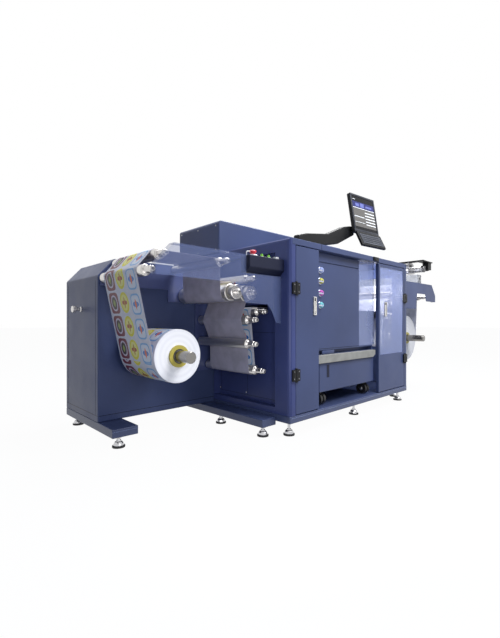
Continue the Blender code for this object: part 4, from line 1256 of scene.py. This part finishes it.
@dataclass
class DoorFurniture:
    """Fixed hinge leaves, pin caps, screws and the inner parts of the door pulls."""

    finishes: Finishes
    pin_x: float = 0.762
    pin_y: float = -0.658
    levels: Flat = (0.382, 0.918)
    half_height: float = 0.037
    leaf_x: Flat = (0.7705, 0.799)
    leaf_y: Flat = (-0.6625, -0.6505)
    post_screw_x: float = 0.786
    door_screw_x: float = 0.744
    door_screw_y: float = -0.6640
    screw_offset: float = 0.022
    left_pull: Point = (-0.583, -0.556, -0.650)
    right_pull: Point = (0.392, 0.426, -0.646)

    def build(self) -> None:
        """Make the furniture of both doors."""
        for sign, door in ((-1, Body.LEFT_DOOR), (1, Body.RIGHT_DOOR)):
            self.hinges(sign, door)
        self.pull(Body.LEFT_DOOR, *self.left_pull)
        self.pull(Body.RIGHT_DOOR, *self.right_pull)

    def hinges(self, sign: int, door: Body) -> None:
        """Make the fixed leaves on the post, and the caps and screws of both halves.

        Args:
            sign: -1 for the left door and 1 for the right.
            door: The door's body.
        """
        name = door.value.removesuffix("_leaf")
        fixed = Shape(f"{name}_fixed_leaves")
        post_screws = Shape(f"{name}_post_screws")
        door_screws = Shape(f"{name}_leaf_screws")
        for level in self.levels:
            low_x, high_x = sorted(sign * x for x in self.leaf_x)
            fixed.box((low_x, self.leaf_y[0], level - self.half_height + 0.001),
                      (high_x, self.leaf_y[1], level + self.half_height - 0.001), 0.002)
            for end in (-1, 1):
                cap = [(0.0, 0.0), (0.0085, 0.0), (0.0085, 0.004), (0.006, 0.006), (0.0, 0.006)]
                place = (sign * self.pin_x, self.pin_y, level + end * (self.half_height + 0.0003))
                fixed.turned(cap, place, (0, 0, end), 24)
                z = level + end * self.screw_offset
                self.screw(post_screws, sign * self.post_screw_x, self.leaf_y[0], z)
                self.screw(door_screws, sign * self.door_screw_x, self.door_screw_y, z)
        fixed.finish(self.finishes.black, Body.MACHINE)
        post_screws.finish(self.finishes.dark_steel, Body.MACHINE)
        door_screws.finish(self.finishes.dark_steel, door)

    def screw(self, shape: Shape, x: float, y: float, z: float) -> None:
        """Add a domed screw with a socket, facing the front.

        Args:
            shape: The mesh that takes it.
            x, y, z: The middle of its seat.
        """
        profile = [(0.0, -0.001), (0.0045, -0.001), (0.0045, 0.0008), (0.0032, 0.0022), (0.0018, 0.0022),
                   (0.0018, 0.0008), (0.0, 0.0008)]
        shape.turned(profile, (x, y, z), (0, -1, 0), 16)

    def pull(self, door: Body, left: float, right: float, seat: float) -> None:
        """Make the dark well of a pull and the bright lever in it.

        Args:
            door: The door's body.
            left, right: The pull's edges in x.
            seat: The y of the door's face.
        """
        name = door.value.removesuffix("_leaf")
        well = Shape(f"{name}_pull_well")
        well.box((left + 0.0065, seat - 0.0040, 0.7652), (right - 0.0065, seat - 0.0031, 0.8648), 0.0003, 1)
        well.finish(self.finishes.black, door)
        lever = Shape(f"{name}_pull_lever")
        lever.box((left + 0.0085, seat - 0.0065, 0.7672), (right - 0.0085, seat - 0.0035, 0.8480), 0.0012)
        lever.box((left + 0.0105, seat - 0.0078, 0.7700), (left + 0.0125, seat - 0.0060, 0.8450), 0.0006, 1)
        lever.box((right - 0.0125, seat - 0.0078, 0.7700), (right - 0.0105, seat - 0.0060, 0.8450), 0.0006, 1)
        lever.finish(self.finishes.handle, door)
        rim = Shape(f"{name}_pull_rim")
        for low, high in (((left - 0.001, seat - 0.0085, 0.7555), (left + 0.004, seat - 0.0068, 0.8745)),
                          ((right - 0.004, seat - 0.0085, 0.7555), (right + 0.001, seat - 0.0068, 0.8745)),
                          ((left + 0.004, seat - 0.0085, 0.7555), (right - 0.004, seat - 0.0068, 0.7605)),
                          ((left + 0.004, seat - 0.0085, 0.8695), (right - 0.004, seat - 0.0068, 0.8745))):
            rim.box(low, high, 0.0006, 1)
        rim.finish(self.finishes.handle, door)


@dataclass
class OperatorDisplay:
    """The display's bezel, its screen with a plain picture, the keys and the rear hood."""

    finishes: Finishes
    corner: Point = (0.158, -0.500, 1.4393)
    swivel: float = math.radians(-5.1)
    lean: float = math.radians(9.4)
    slope: float = math.radians(17.0)
    opening: Corners = (0.018, 0.030, 0.322, 0.321)
    face_y: float = -0.0150
    key_rows: int = 5
    key_columns: int = 15
    key_pitch: float = 0.0195
    key_size: float = 0.0160
    key_y: Flat = (-0.0255, -0.0215)
    first_key: Flat = (0.024, -0.118)

    def build(self) -> None:
        """Make every piece of the display on its swivelling arm."""
        face = Matrix.Translation(self.corner) @ Matrix.Rotation(self.swivel, 4, "Z")
        face = face @ Matrix.Rotation(-self.lean, 4, "X")
        self.screen(face)
        drop = 0.0063 / math.cos(self.slope) - 0.006
        desk = face @ Matrix.Translation((0, -0.009, -drop)) @ Matrix.Rotation(-self.slope, 4, "X")
        self.keys(desk)
        self.back(face)

    def panel(self, name: str, areas: Sequence[Corners], lift: float,
              material: bpy.types.Material, turn: Matrix) -> None:
        """Make thin panels on the display's face from (x, z, x, z) corners.

        Args:
            name: The piece's name.
            areas: The corners of each panel.
            lift: How far they stand out.
            material: Their finish.
            turn: The matrix that stands the part on the display.
        """
        shape = Shape(name)
        for left, low, right, high in areas:
            front = self.face_y - lift
            shape.box((left, front, low), (right, front + 0.0008, high), 0.0002, 1, turn)
        shape.finish(material, Body.DISPLAY)

    def screen(self, turn: Matrix) -> None:
        """Make the bezel and the picture, which is plain fields, lines and blocks.

        Args:
            turn: The matrix that stands the part on the display.
        """
        f = self.finishes
        bezel = Shape("display_bezel")
        bezel.frame((0.0, 0.0, 0.340, 0.339), self.opening, (-0.0185, -0.0140), 0.0018, 2, turn)
        bezel.finish(f.bezel, Body.DISPLAY)
        self.panel("display_screen", [self.opening], 0.0006, f.glass, turn)
        self.panel("display_picture", [(0.020, 0.226, 0.320, 0.276)], 0.0010, f.screen_blue, turn)
        self.panel("display_lower_field", [(0.020, 0.056, 0.320, 0.218)], 0.0010, f.screen_grey, turn)
        lines = [(0.020, 0.219, 0.320, 0.2235), (0.030, 0.292, 0.066, 0.296)]
        lines += [(0.178, 0.084 + 0.026 * row, 0.314, 0.091 + 0.026 * row) for row in range(5)]
        lines += [(0.026, 0.142, 0.164, 0.147), (0.026, 0.094, 0.164, 0.097)]
        self.panel("display_lines", lines, 0.0014, f.screen_white, turn)
        shapes = [(0.060, 0.236, 0.110, 0.262), (0.126, 0.232, 0.176, 0.270), (0.200, 0.240, 0.286, 0.256)]
        self.panel("display_picture_shapes", shapes, 0.0014, f.screen_pale, turn)

    def keys(self, turn: Matrix) -> None:
        """Make the rows of keys with the long one, and the rim round them.

        Args:
            turn: The matrix that stands the part on the display.
        """
        keys = Shape("keyboard_keys")
        pitch, size = self.key_pitch, self.key_size
        front, back = self.key_y
        first_x, first_z = self.first_key
        for row in range(self.key_rows):
            for column in range(self.key_columns):
                if row == 0 and 3 < column < 10:
                    continue
                left = first_x + pitch * column
                low = first_z + pitch * row
                keys.box((left, front, low), (left + size, back, low + size), 0.0012, 1, turn)
        keys.box((first_x + pitch * 4, front, first_z), (first_x + pitch * 9 + size, back, -0.102), 0.0012,
                 1, turn)
        keys.finish(self.finishes.key_grey, Body.DISPLAY)
        rim = Shape("keyboard_rim")
        rim.frame((0.008, -0.1330, 0.332, -0.0100), (0.014, -0.1270, 0.326, -0.0160), (-0.0232, -0.0215),
                  0.0006, 1, turn)
        rim.finish(self.finishes.black, Body.DISPLAY)

    def back(self, turn: Matrix) -> None:
        """Make the rear hood of the display and its cooling slots.

        Args:
            turn: The matrix that stands the part on the display.
        """
        hood = Shape("display_rear_hood")
        hood.box((0.150, 0.0145, 0.080), (0.320, 0.0260, 0.280), 0.006, 3, turn)
        for row in range(7):
            hood.box((0.170, 0.0255, 0.200 + 0.010 * row), (0.300, 0.0275, 0.204 + 0.010 * row), 0.0006, 1,
                     turn)
        hood.finish(self.finishes.black, Body.DISPLAY)


@dataclass
class ControlPanel:
    """Collars round the buttons of the control box and the stop's pale seat."""

    finishes: Finishes
    seat_z: float = 1.0933
    middle_y: float = -0.566
    wire_radius: float = 0.0028
    bend: float = 0.010

    def build(self) -> None:
        """Make the collars, the seat and the small bent wire beside the stop."""
        self.ring("stop_seat", -1.0473, 0.0146, 0.0270, 0.0080, self.finishes.white)
        self.ring("green_collar_1", -0.9743, 0.0123, 0.0165, 0.0060, self.finishes.dark_steel)
        self.ring("green_collar_2", -0.9163, 0.0123, 0.0165, 0.0060, self.finishes.dark_steel)
        self.ring("white_collar", -0.8523, 0.0203, 0.0240, 0.0030, self.finishes.dark_steel)
        guard = Shape("stop_wire_guard")
        y, bend = self.middle_y, self.bend
        path = [(-1.0980, y, 1.0925), (-1.0980, y, 1.1080)]
        path += [(-1.0880 - bend * math.cos(angle), y, 1.1080 + bend * math.sin(angle))
                 for angle in (0.4, 0.8, 1.2, 1.57)]
        path += [(-1.0700, y, 1.1180)]
        guard.tube(path, self.wire_radius, 12)
        guard.finish(self.finishes.white, Body.MACHINE)

    def ring(self, name: str, x: float, inner: float, outer: float, height: float,
             material: bpy.types.Material) -> None:
        """Make one stepped ring on the box's top.

        Args:
            name: The piece's name.
            x: Its middle.
            inner, outer: Its radii.
            height: Its height.
            material: Its finish.
        """
        shape = Shape(name)
        edge = (outer - inner) * 0.25
        profile = [(inner, 0.0), (outer, 0.0), (outer, height - edge), (outer - edge, height),
                   (inner + edge, height), (inner, height - edge), (inner, 0.0)]
        shape.turned(profile, (x, self.middle_y, self.seat_z), (0, 0, 1), 36)
        shape.finish(material, Body.MACHINE)


@dataclass
class EngineDetails:
    """The engine's toner pipes, strip, drawer slot, seams and castor hubs, and the beam's latch."""

    finishes: Finishes
    front_y: float = -0.604
    port_x: float = -0.445
    port_levels: Corners = (1.064, 0.990, 0.908, 0.826)
    castor_x: Flat = (-0.400, 0.196)
    castor_y: float = -0.560
    castor_z: float = 0.1743
    hub_offset: float = 0.0282

    def build(self) -> None:
        """Make the engine's details."""
        self.pipes()
        self.plates()
        self.castors()

    def pipes(self) -> None:
        """Make the upright manifold with one pipe to each toner port."""
        front = self.front_y
        manifold = Shape("toner_manifold")
        manifold.box((-0.5125, front - 0.010, 0.790), (-0.4780, front - 0.0003, 1.092), 0.002)
        manifold.finish(self.finishes.blue, Body.MACHINE)
        pipes = Shape("toner_pipes")
        for level in self.port_levels:
            y, z = front - 0.0170, level - 0.004
            pipes.rod((-0.5100, y, z), (-0.4420, y, z), 0.0065, 24, 0.001)
            pipes.turned([(0.0, 0.0), (0.010, 0.0), (0.010, 0.004), (0.008, 0.006), (0.0, 0.006)],
                         (-0.4480, y, z), (1, 0, 0), 24)
            pipes.rod((-0.4950, y, z), (-0.4950, front - 0.0080, z), 0.0075, 24)
        pipes.finish(self.finishes.pipe, Body.MACHINE)
        rings = Shape("toner_port_rings")
        for level in self.port_levels:
            rings.turned([(0.0203, 0.0), (0.0240, 0.0), (0.0240, 0.003), (0.0220, 0.005), (0.0203, 0.005),
                          (0.0203, 0.0)], (self.port_x, front - 0.0003, level), (0, -1, 0), 40)
        rings.finish(self.finishes.pipe, Body.MACHINE)

    def plates(self) -> None:
        """Make the strip over the tray, a dark plate painted as the shade in the drawer's slot, the beam's
        latch and the seams.
        """
        front = self.front_y
        strip = Shape("engine_strip")
        strip.box((-0.4240, front - 0.003, 0.4880), (-0.2790, front - 0.0003, 0.5120), 0.0008)
        strip.finish(self.finishes.blue, Body.MACHINE)
        low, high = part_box("engine_drawer")
        # Painted shade: a flat dark plate on the drawer's face stands for the shade in its grip slot.
        slot = Shape("drawer_slot_painted_shade")
        slot.box((-0.3830, low[1] - 0.0012, 0.3250), (-0.3530, low[1] - 0.0002, 0.4125), 0.0003, 1)
        slot.finish(self.finishes.seam_and_shade_blue, Body.MACHINE)
        latch = Shape("beam_latch")
        latch.box((0.200, -0.6570, 1.1960), (0.286, -0.6503, 1.2280), 0.002)
        latch.box((0.212, -0.6600, 1.2040), (0.236, -0.6565, 1.2200), 0.001)
        latch.finish(self.finishes.black, Body.MACHINE)
        seams = Shape("beam_seams")
        for x in (-0.492, 0.293):
            seams.box((x - 0.0015, -0.6508, 1.1900), (x + 0.0015, -0.6501, 1.2285), 0.0002, 1)
        seams.box((-0.5190, front - 0.0009, 0.5235), (0.0630, front - 0.0002, 0.5265), 0.0002, 1)
        seams.finish(self.finishes.seam_and_shade_blue, Body.MACHINE)

    def castors(self) -> None:
        """Make the bright hubs of the castors' wheels."""
        hubs = Shape("castor_hubs")
        profile = [(0.0, -0.002), (0.016, -0.002), (0.016, 0.0008), (0.012, 0.0020), (0.006, 0.0020),
                   (0.005, 0.0036), (0.0, 0.0036)]
        for x in self.castor_x:
            for side in (-1, 1):
                place = (x + side * self.hub_offset, self.castor_y, self.castor_z)
                hubs.turned(profile, place, (side, 0, 0), 28)
        hubs.finish(self.finishes.steel, Body.MACHINE)


@dataclass
class FootNuts:
    """Lock nuts, washers and stem collars on the levelling feet."""

    finishes: Finishes
    body_seat: float = 0.086
    body_x: Point = (-0.754, 0.009, 0.754)
    body_y: Flat = (-0.590, 0.590)
    bar_seat: float = 0.064
    outer_x: float = 1.629
    outer_y: Flat = (-0.067, 0.575)
    inner_x: float = 0.888
    inner_y: Point = (-0.491, -0.078, 0.575)

    def build(self) -> None:
        """Make a nut and a washer under every foot's seat, and a collar low on its stem."""
        nuts = Shape("foot_lock_nuts")
        body = [(x, y, self.body_seat) for x in self.body_x for y in self.body_y]
        outer = [(sign * self.outer_x, y, self.bar_seat) for sign in (-1, 1) for y in self.outer_y]
        inner = [(sign * self.inner_x, y, self.bar_seat) for sign in (-1, 1) for y in self.inner_y]
        nut = [(0.0, 0.0), (0.0155, 0.0), (0.0172, 0.0015), (0.0172, 0.0085), (0.0155, 0.010), (0.0, 0.010)]
        washer = [(0.0, 0.0), (0.021, 0.0), (0.021, 0.0025), (0.0, 0.0025)]
        collar = [(0.0, 0.0), (0.013, 0.0), (0.0115, 0.005), (0.0, 0.005)]
        for x, y, level in (*body, *outer, *inner):
            nuts.turned(nut, (x, y, level - 0.0135), (0, 0, 1), 6)
            nuts.turned(washer, (x, y, level - 0.0030), (0, 0, 1), 32)
            nuts.turned(collar, (x, y, 0.0335), (0, 0, 1), 28)
        nuts.finish(self.finishes.chrome, Body.MACHINE)


@dataclass
class Fasteners:
    """Screws and panel seams on the housings, walls and the closed rear."""

    finishes: Finishes
    housing_x: float = 0.8141
    housing_y: Point = (0.075, 0.300, 0.528)
    housing_z: Flat = (1.252, 1.430)
    roof_x: Point = (-0.700, 0.0, 0.700)
    roof_y: Flat = (-0.560, 0.610)
    roof_z: float = 1.2291
    recess_x: float = -0.7603
    recess_y: Point = (-0.505, -0.215, 0.070)
    recess_z: Flat = (0.200, 0.640)
    rear_y: float = 0.6502
    rear_seam_x: Point = (-0.400, 0.0, 0.400)
    module_x: float = 1.249
    seam_half: float = 0.0012

    def build(self) -> None:
        """Make the screws and the seams of every side."""
        self.housing_screws()
        self.recess_panel()
        self.rear_panels()
        self.cabinet_seams()

    def dome(self, shape: Shape, place: Point, axis: Point, radius: float = 0.0050) -> None:
        """Add one domed socket screw.

        Args:
            shape: The mesh that takes it.
            place: The middle of its seat.
            axis: The way it faces.
            radius: Its radius.
        """
        profile = [(0.0, -0.001), (radius, -0.001), (radius, 0.0006), (radius * 0.7, 0.0022),
                   (radius * 0.4, 0.0022), (radius * 0.4, 0.0010), (0.0, 0.0010)]
        shape.turned(profile, place, axis, 18)

    def housing_screws(self) -> None:
        """Screw the upper housing's ends and the roof."""
        screws = Shape("housing_screws")
        for side in (-1, 1):
            for y in self.housing_y:
                for z in self.housing_z:
                    self.dome(screws, (side * self.housing_x, y, z), (side, 0, 0))
        for x in self.roof_x:
            for y in self.roof_y:
                self.dome(screws, (x, y, self.roof_z), (0, 0, 1))
        screws.finish(self.finishes.steel, Body.MACHINE)

    def recess_panel(self) -> None:
        """Frame the sunk panel of the left wall with its seams and screws."""
        seams = Shape("recess_seams")
        screws = Shape("recess_screws")
        x, half = self.recess_x, self.seam_half
        low_z, high_z = self.recess_z
        for y in self.recess_y:
            seams.box((x - 0.0004, y - half, low_z), (x + 0.0002, y + half, high_z), 0.0001, 1)
            for z in (0.215, 0.420, 0.625):
                self.dome(screws, (x, y + 0.014, z), (-1, 0, 0), 0.0042)
        for z in self.recess_z:
            seams.box((x - 0.0004, self.recess_y[0], z - half), (x + 0.0002, self.recess_y[-1], z + half),
                      0.0001, 1)
        seams.finish(self.finishes.seam_and_shade_blue, Body.MACHINE)
        screws.finish(self.finishes.steel, Body.MACHINE)

    def rear_panels(self) -> None:
        """Lay plain seams and screws on the closed rear, as such machines have there."""
        seams = Shape("rear_seams")
        screws = Shape("rear_screws")
        y, half = self.rear_y, self.seam_half
        for x in self.rear_seam_x:
            seams.box((x - half, y - 0.0002, 0.150), (x + half, y + 0.0004, 1.200), 0.0001, 1)
        seams.box((-0.780, y - 0.0002, 0.6388), (0.780, y + 0.0004, 0.6412), 0.0001, 1)
        for x in (-0.760, -0.420, -0.380, -0.020, 0.020, 0.380, 0.420, 0.760):
            for z in (0.170, 0.620, 0.660, 1.180):
                self.dome(screws, (x, y, z), (0, 1, 0))
        for side in (-1, 1):
            centre = side * self.module_x
            seams.box((centre - half, y - 0.0002, 0.140), (centre + half, y + 0.0004, 1.080), 0.0001, 1)
            for x in (centre - 0.380, centre - 0.020, centre + 0.020, centre + 0.310):
                for z in (0.150, 0.960):
                    self.dome(screws, (x, y, z), (0, 1, 0))
        seams.finish(self.finishes.seam_and_shade_blue, Body.MACHINE)
        screws.finish(self.finishes.steel, Body.MACHINE)

    def cabinet_seams(self) -> None:
        """Lay the seams of the cabinets, and painted highlights along the upper edges of the bases."""
        seams = Shape("cabinet_seams")
        half = self.seam_half
        for side in (-1, 1):
            low_x, high_x = sorted((side * 0.816, side * 1.680))
            seams.box((low_x, 0.0925, 0.1505), (high_x, 0.0932, 0.1535), 0.0001, 1)
            end = side * 1.6843
            seams.box((end - 0.0003, 0.100, 0.1505), (end + 0.0003, 0.640, 0.1535), 0.0001, 1)
            for y in (0.130, 0.610):
                seams.box((end - 0.0003, y - half, 0.152), (end + 0.0003, y + half, 0.960), 0.0001, 1)
        seams.finish(self.finishes.seam_and_shade_blue, Body.MACHINE)
        # Painted highlight: thin pale strips where light catches the front edges of the bases.
        edge_highlight = Shape("base_edge_highlight")
        edge_highlight.box((-0.800, -0.6508, 0.1175), (0.800, -0.6501, 0.1195), 0.0001, 1)
        for side in (-1, 1):
            low_x, high_x = sorted((side * 1.530, side * 1.684))
            edge_highlight.box((low_x, -0.1106, 0.0985), (high_x, -0.1101, 0.1000), 0.0001, 1)
        edge_highlight.finish(self.finishes.edge_highlight, Body.MACHINE)


@dataclass
class GuideDetails:
    """The web guide's motor cap, bolts, lens and the beam's hole ring."""

    finishes: Finishes
    motor: Point = (1.420, -0.5552, 1.2543)
    beam_y: float = -0.5452
    beam_hole: Flat = (1.350, 1.147)
    beam_bolt_x: Flat = (1.317, 1.383)
    beam_bolt_z: Flat = (1.116, 1.178)
    bracket_y: float = -0.4552
    bracket_bolts: tuple[Flat, Flat] = ((1.334, 1.2325), (1.368, 1.2865))
    lens: Point = (1.505, -0.560, 1.2492)

    def build(self) -> None:
        """Make the details over the unwinder."""
        f = self.finishes
        cap = Shape("guide_motor_cap")
        cap.turned([(0.0, 0.0), (0.0348, 0.0), (0.0348, 0.012), (0.031, 0.018), (0.012, 0.018),
                    (0.012, 0.012), (0.0, 0.012)], self.motor, (0, -1, 0), 36)
        cap.finish(f.dark_steel, Body.MACHINE)
        ring = Shape("guide_beam_ring")
        ring.turned([(0.0195, 0.0), (0.0255, 0.0), (0.0255, 0.003), (0.0235, 0.0045), (0.0195, 0.0045),
                     (0.0195, 0.0)], (self.beam_hole[0], self.beam_y, self.beam_hole[1]), (0, -1, 0), 36)
        ring.finish(f.steel, Body.MACHINE)
        self.bolts()
        lens = Shape("sensor_lens")
        lens.turned([(0.0, -0.001), (0.020, -0.001), (0.020, 0.005), (0.016, 0.008), (0.013, 0.004),
                     (0.0, 0.006)], self.lens, (0, 0, -1), 32)
        lens.finish(f.glass, Body.MACHINE)

    def bolts(self) -> None:
        """Make the socket bolts of the beam and the round bolts of the bracket behind it."""
        bolts = Shape("guide_bolts")
        socket = [(0.0, -0.001), (0.0048, -0.001), (0.0048, 0.004), (0.0024, 0.004), (0.0024, 0.002),
                  (0.0, 0.002)]
        for x in self.beam_bolt_x:
            for z in self.beam_bolt_z:
                bolts.turned(socket, (x, self.beam_y, z), (0, -1, 0), 6)
        dome = [(0.0, -0.001), (0.011, -0.001), (0.011, 0.004), (0.008, 0.006), (0.0, 0.006)]
        for x, z in self.bracket_bolts:
            bolts.turned(dome, (x, self.bracket_y, z), (0, -1, 0), 24)
        bolts.finish(self.finishes.dark_steel, Body.MACHINE)


@dataclass
class Wardrobe:
    """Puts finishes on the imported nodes, which keep their shapes."""

    frame: dict
    finishes: Finishes

    def dress(self, node: str, material: bpy.types.Material) -> None:
        """Give a node one material.

        Args:
            node: The node's name.
            material: Its finish.
        """
        item = self.frame["nodes"][node]
        if not item.material_slots:
            item.data.materials.append(material)
        for entry in item.material_slots:
            entry.material = material

    def dress_all(self) -> None:
        """Dress every node that is shown."""
        f = self.finishes
        plain = {
            f.blue: ("rewinder_cabinet", "unwinder_cabinet", "main_right_wall", "main_roof",
                     "main_front_beam", "upper_housing", "engine_body", "engine_drawer", "left_door",
                     "right_door", "unwinder_front_cover"),
            # Painted shade: the left wall takes the shaded copy of the body blue.
            f.shaded_side_blue: ("main_left_wall",),
            # Painted shade: the control box has the body's coat, and this dark copy stands for the shade on
            # its faces, which turn down and away from the lamps.
            f.seam_and_shade_blue: ("control_box",),
            f.rear: ("main_rear_housing",),
            f.beige: ("engine_tray",),
            f.castor: ("engine_castor_left", "engine_castor_right"),
            f.red: ("emergency_stop",),
            f.green: ("green_button_1", "green_button_2"),
            f.white: ("white_button",),
            f.black: ("monitor_base", "monitor_arm", "monitor_display", "monitor_keyboard",
                      "left_door_hinge_upper", "left_door_hinge_lower", "right_door_hinge_upper",
                      "right_door_hinge_lower", "unwinder_sensor_arm"),
            f.grey: ("unwinder_guide_beam",),
            f.steel: ("left_door_handle", "right_door_handle", "unwinder_guide_rollers"),
            f.chrome: ("rewinder_end_knob", "unwinder_end_knob"),
            f.pane: ("rewinder_front_cover",),
            f.door_pane: ("right_door_pane",),
            f.guard: ("engine_side_guard",),
            f.roller_frame: ("rewinder_roller_frame", "unwinder_roller_frame"),
            f.paper: ("unwinder_web",),
            f.print_roll: ("rewind_roll",),
            f.plain_roll: ("unwind_roll",),
            f.rewind_core: ("rewind_core_shaft",),
            f.unwind_core: ("unwind_core_shaft",),
            f.port_blue: ("toner_port_blue",),
            f.port_yellow: ("toner_port_yellow",),
            f.port_magenta: ("toner_port_magenta",),
            f.port_cyan: ("toner_port_cyan",),
            f.body_base: ("main_base",),
            f.module_base: ("rewinder_outer_base", "rewinder_inner_base", "unwinder_outer_base",
                            "unwinder_inner_base"),
        }
        for material, nodes in plain.items():
            for node in nodes:
                self.dress(node, material)


def main() -> None:
    """Build the studio and dress the press."""
    logging.basicConfig(level=logging.INFO, format="%(message)s")
    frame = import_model()
    finishes = Finishes()
    Studio().build()
    Wardrobe(frame, finishes).dress_all()
    for part in (PrintedWeb, RollerEnds, DoorFurniture, OperatorDisplay, ControlPanel, EngineDetails,
                 FootNuts, Fasteners, GuideDetails):
        part(finishes).build()


if __name__ == "__main__":
    main()
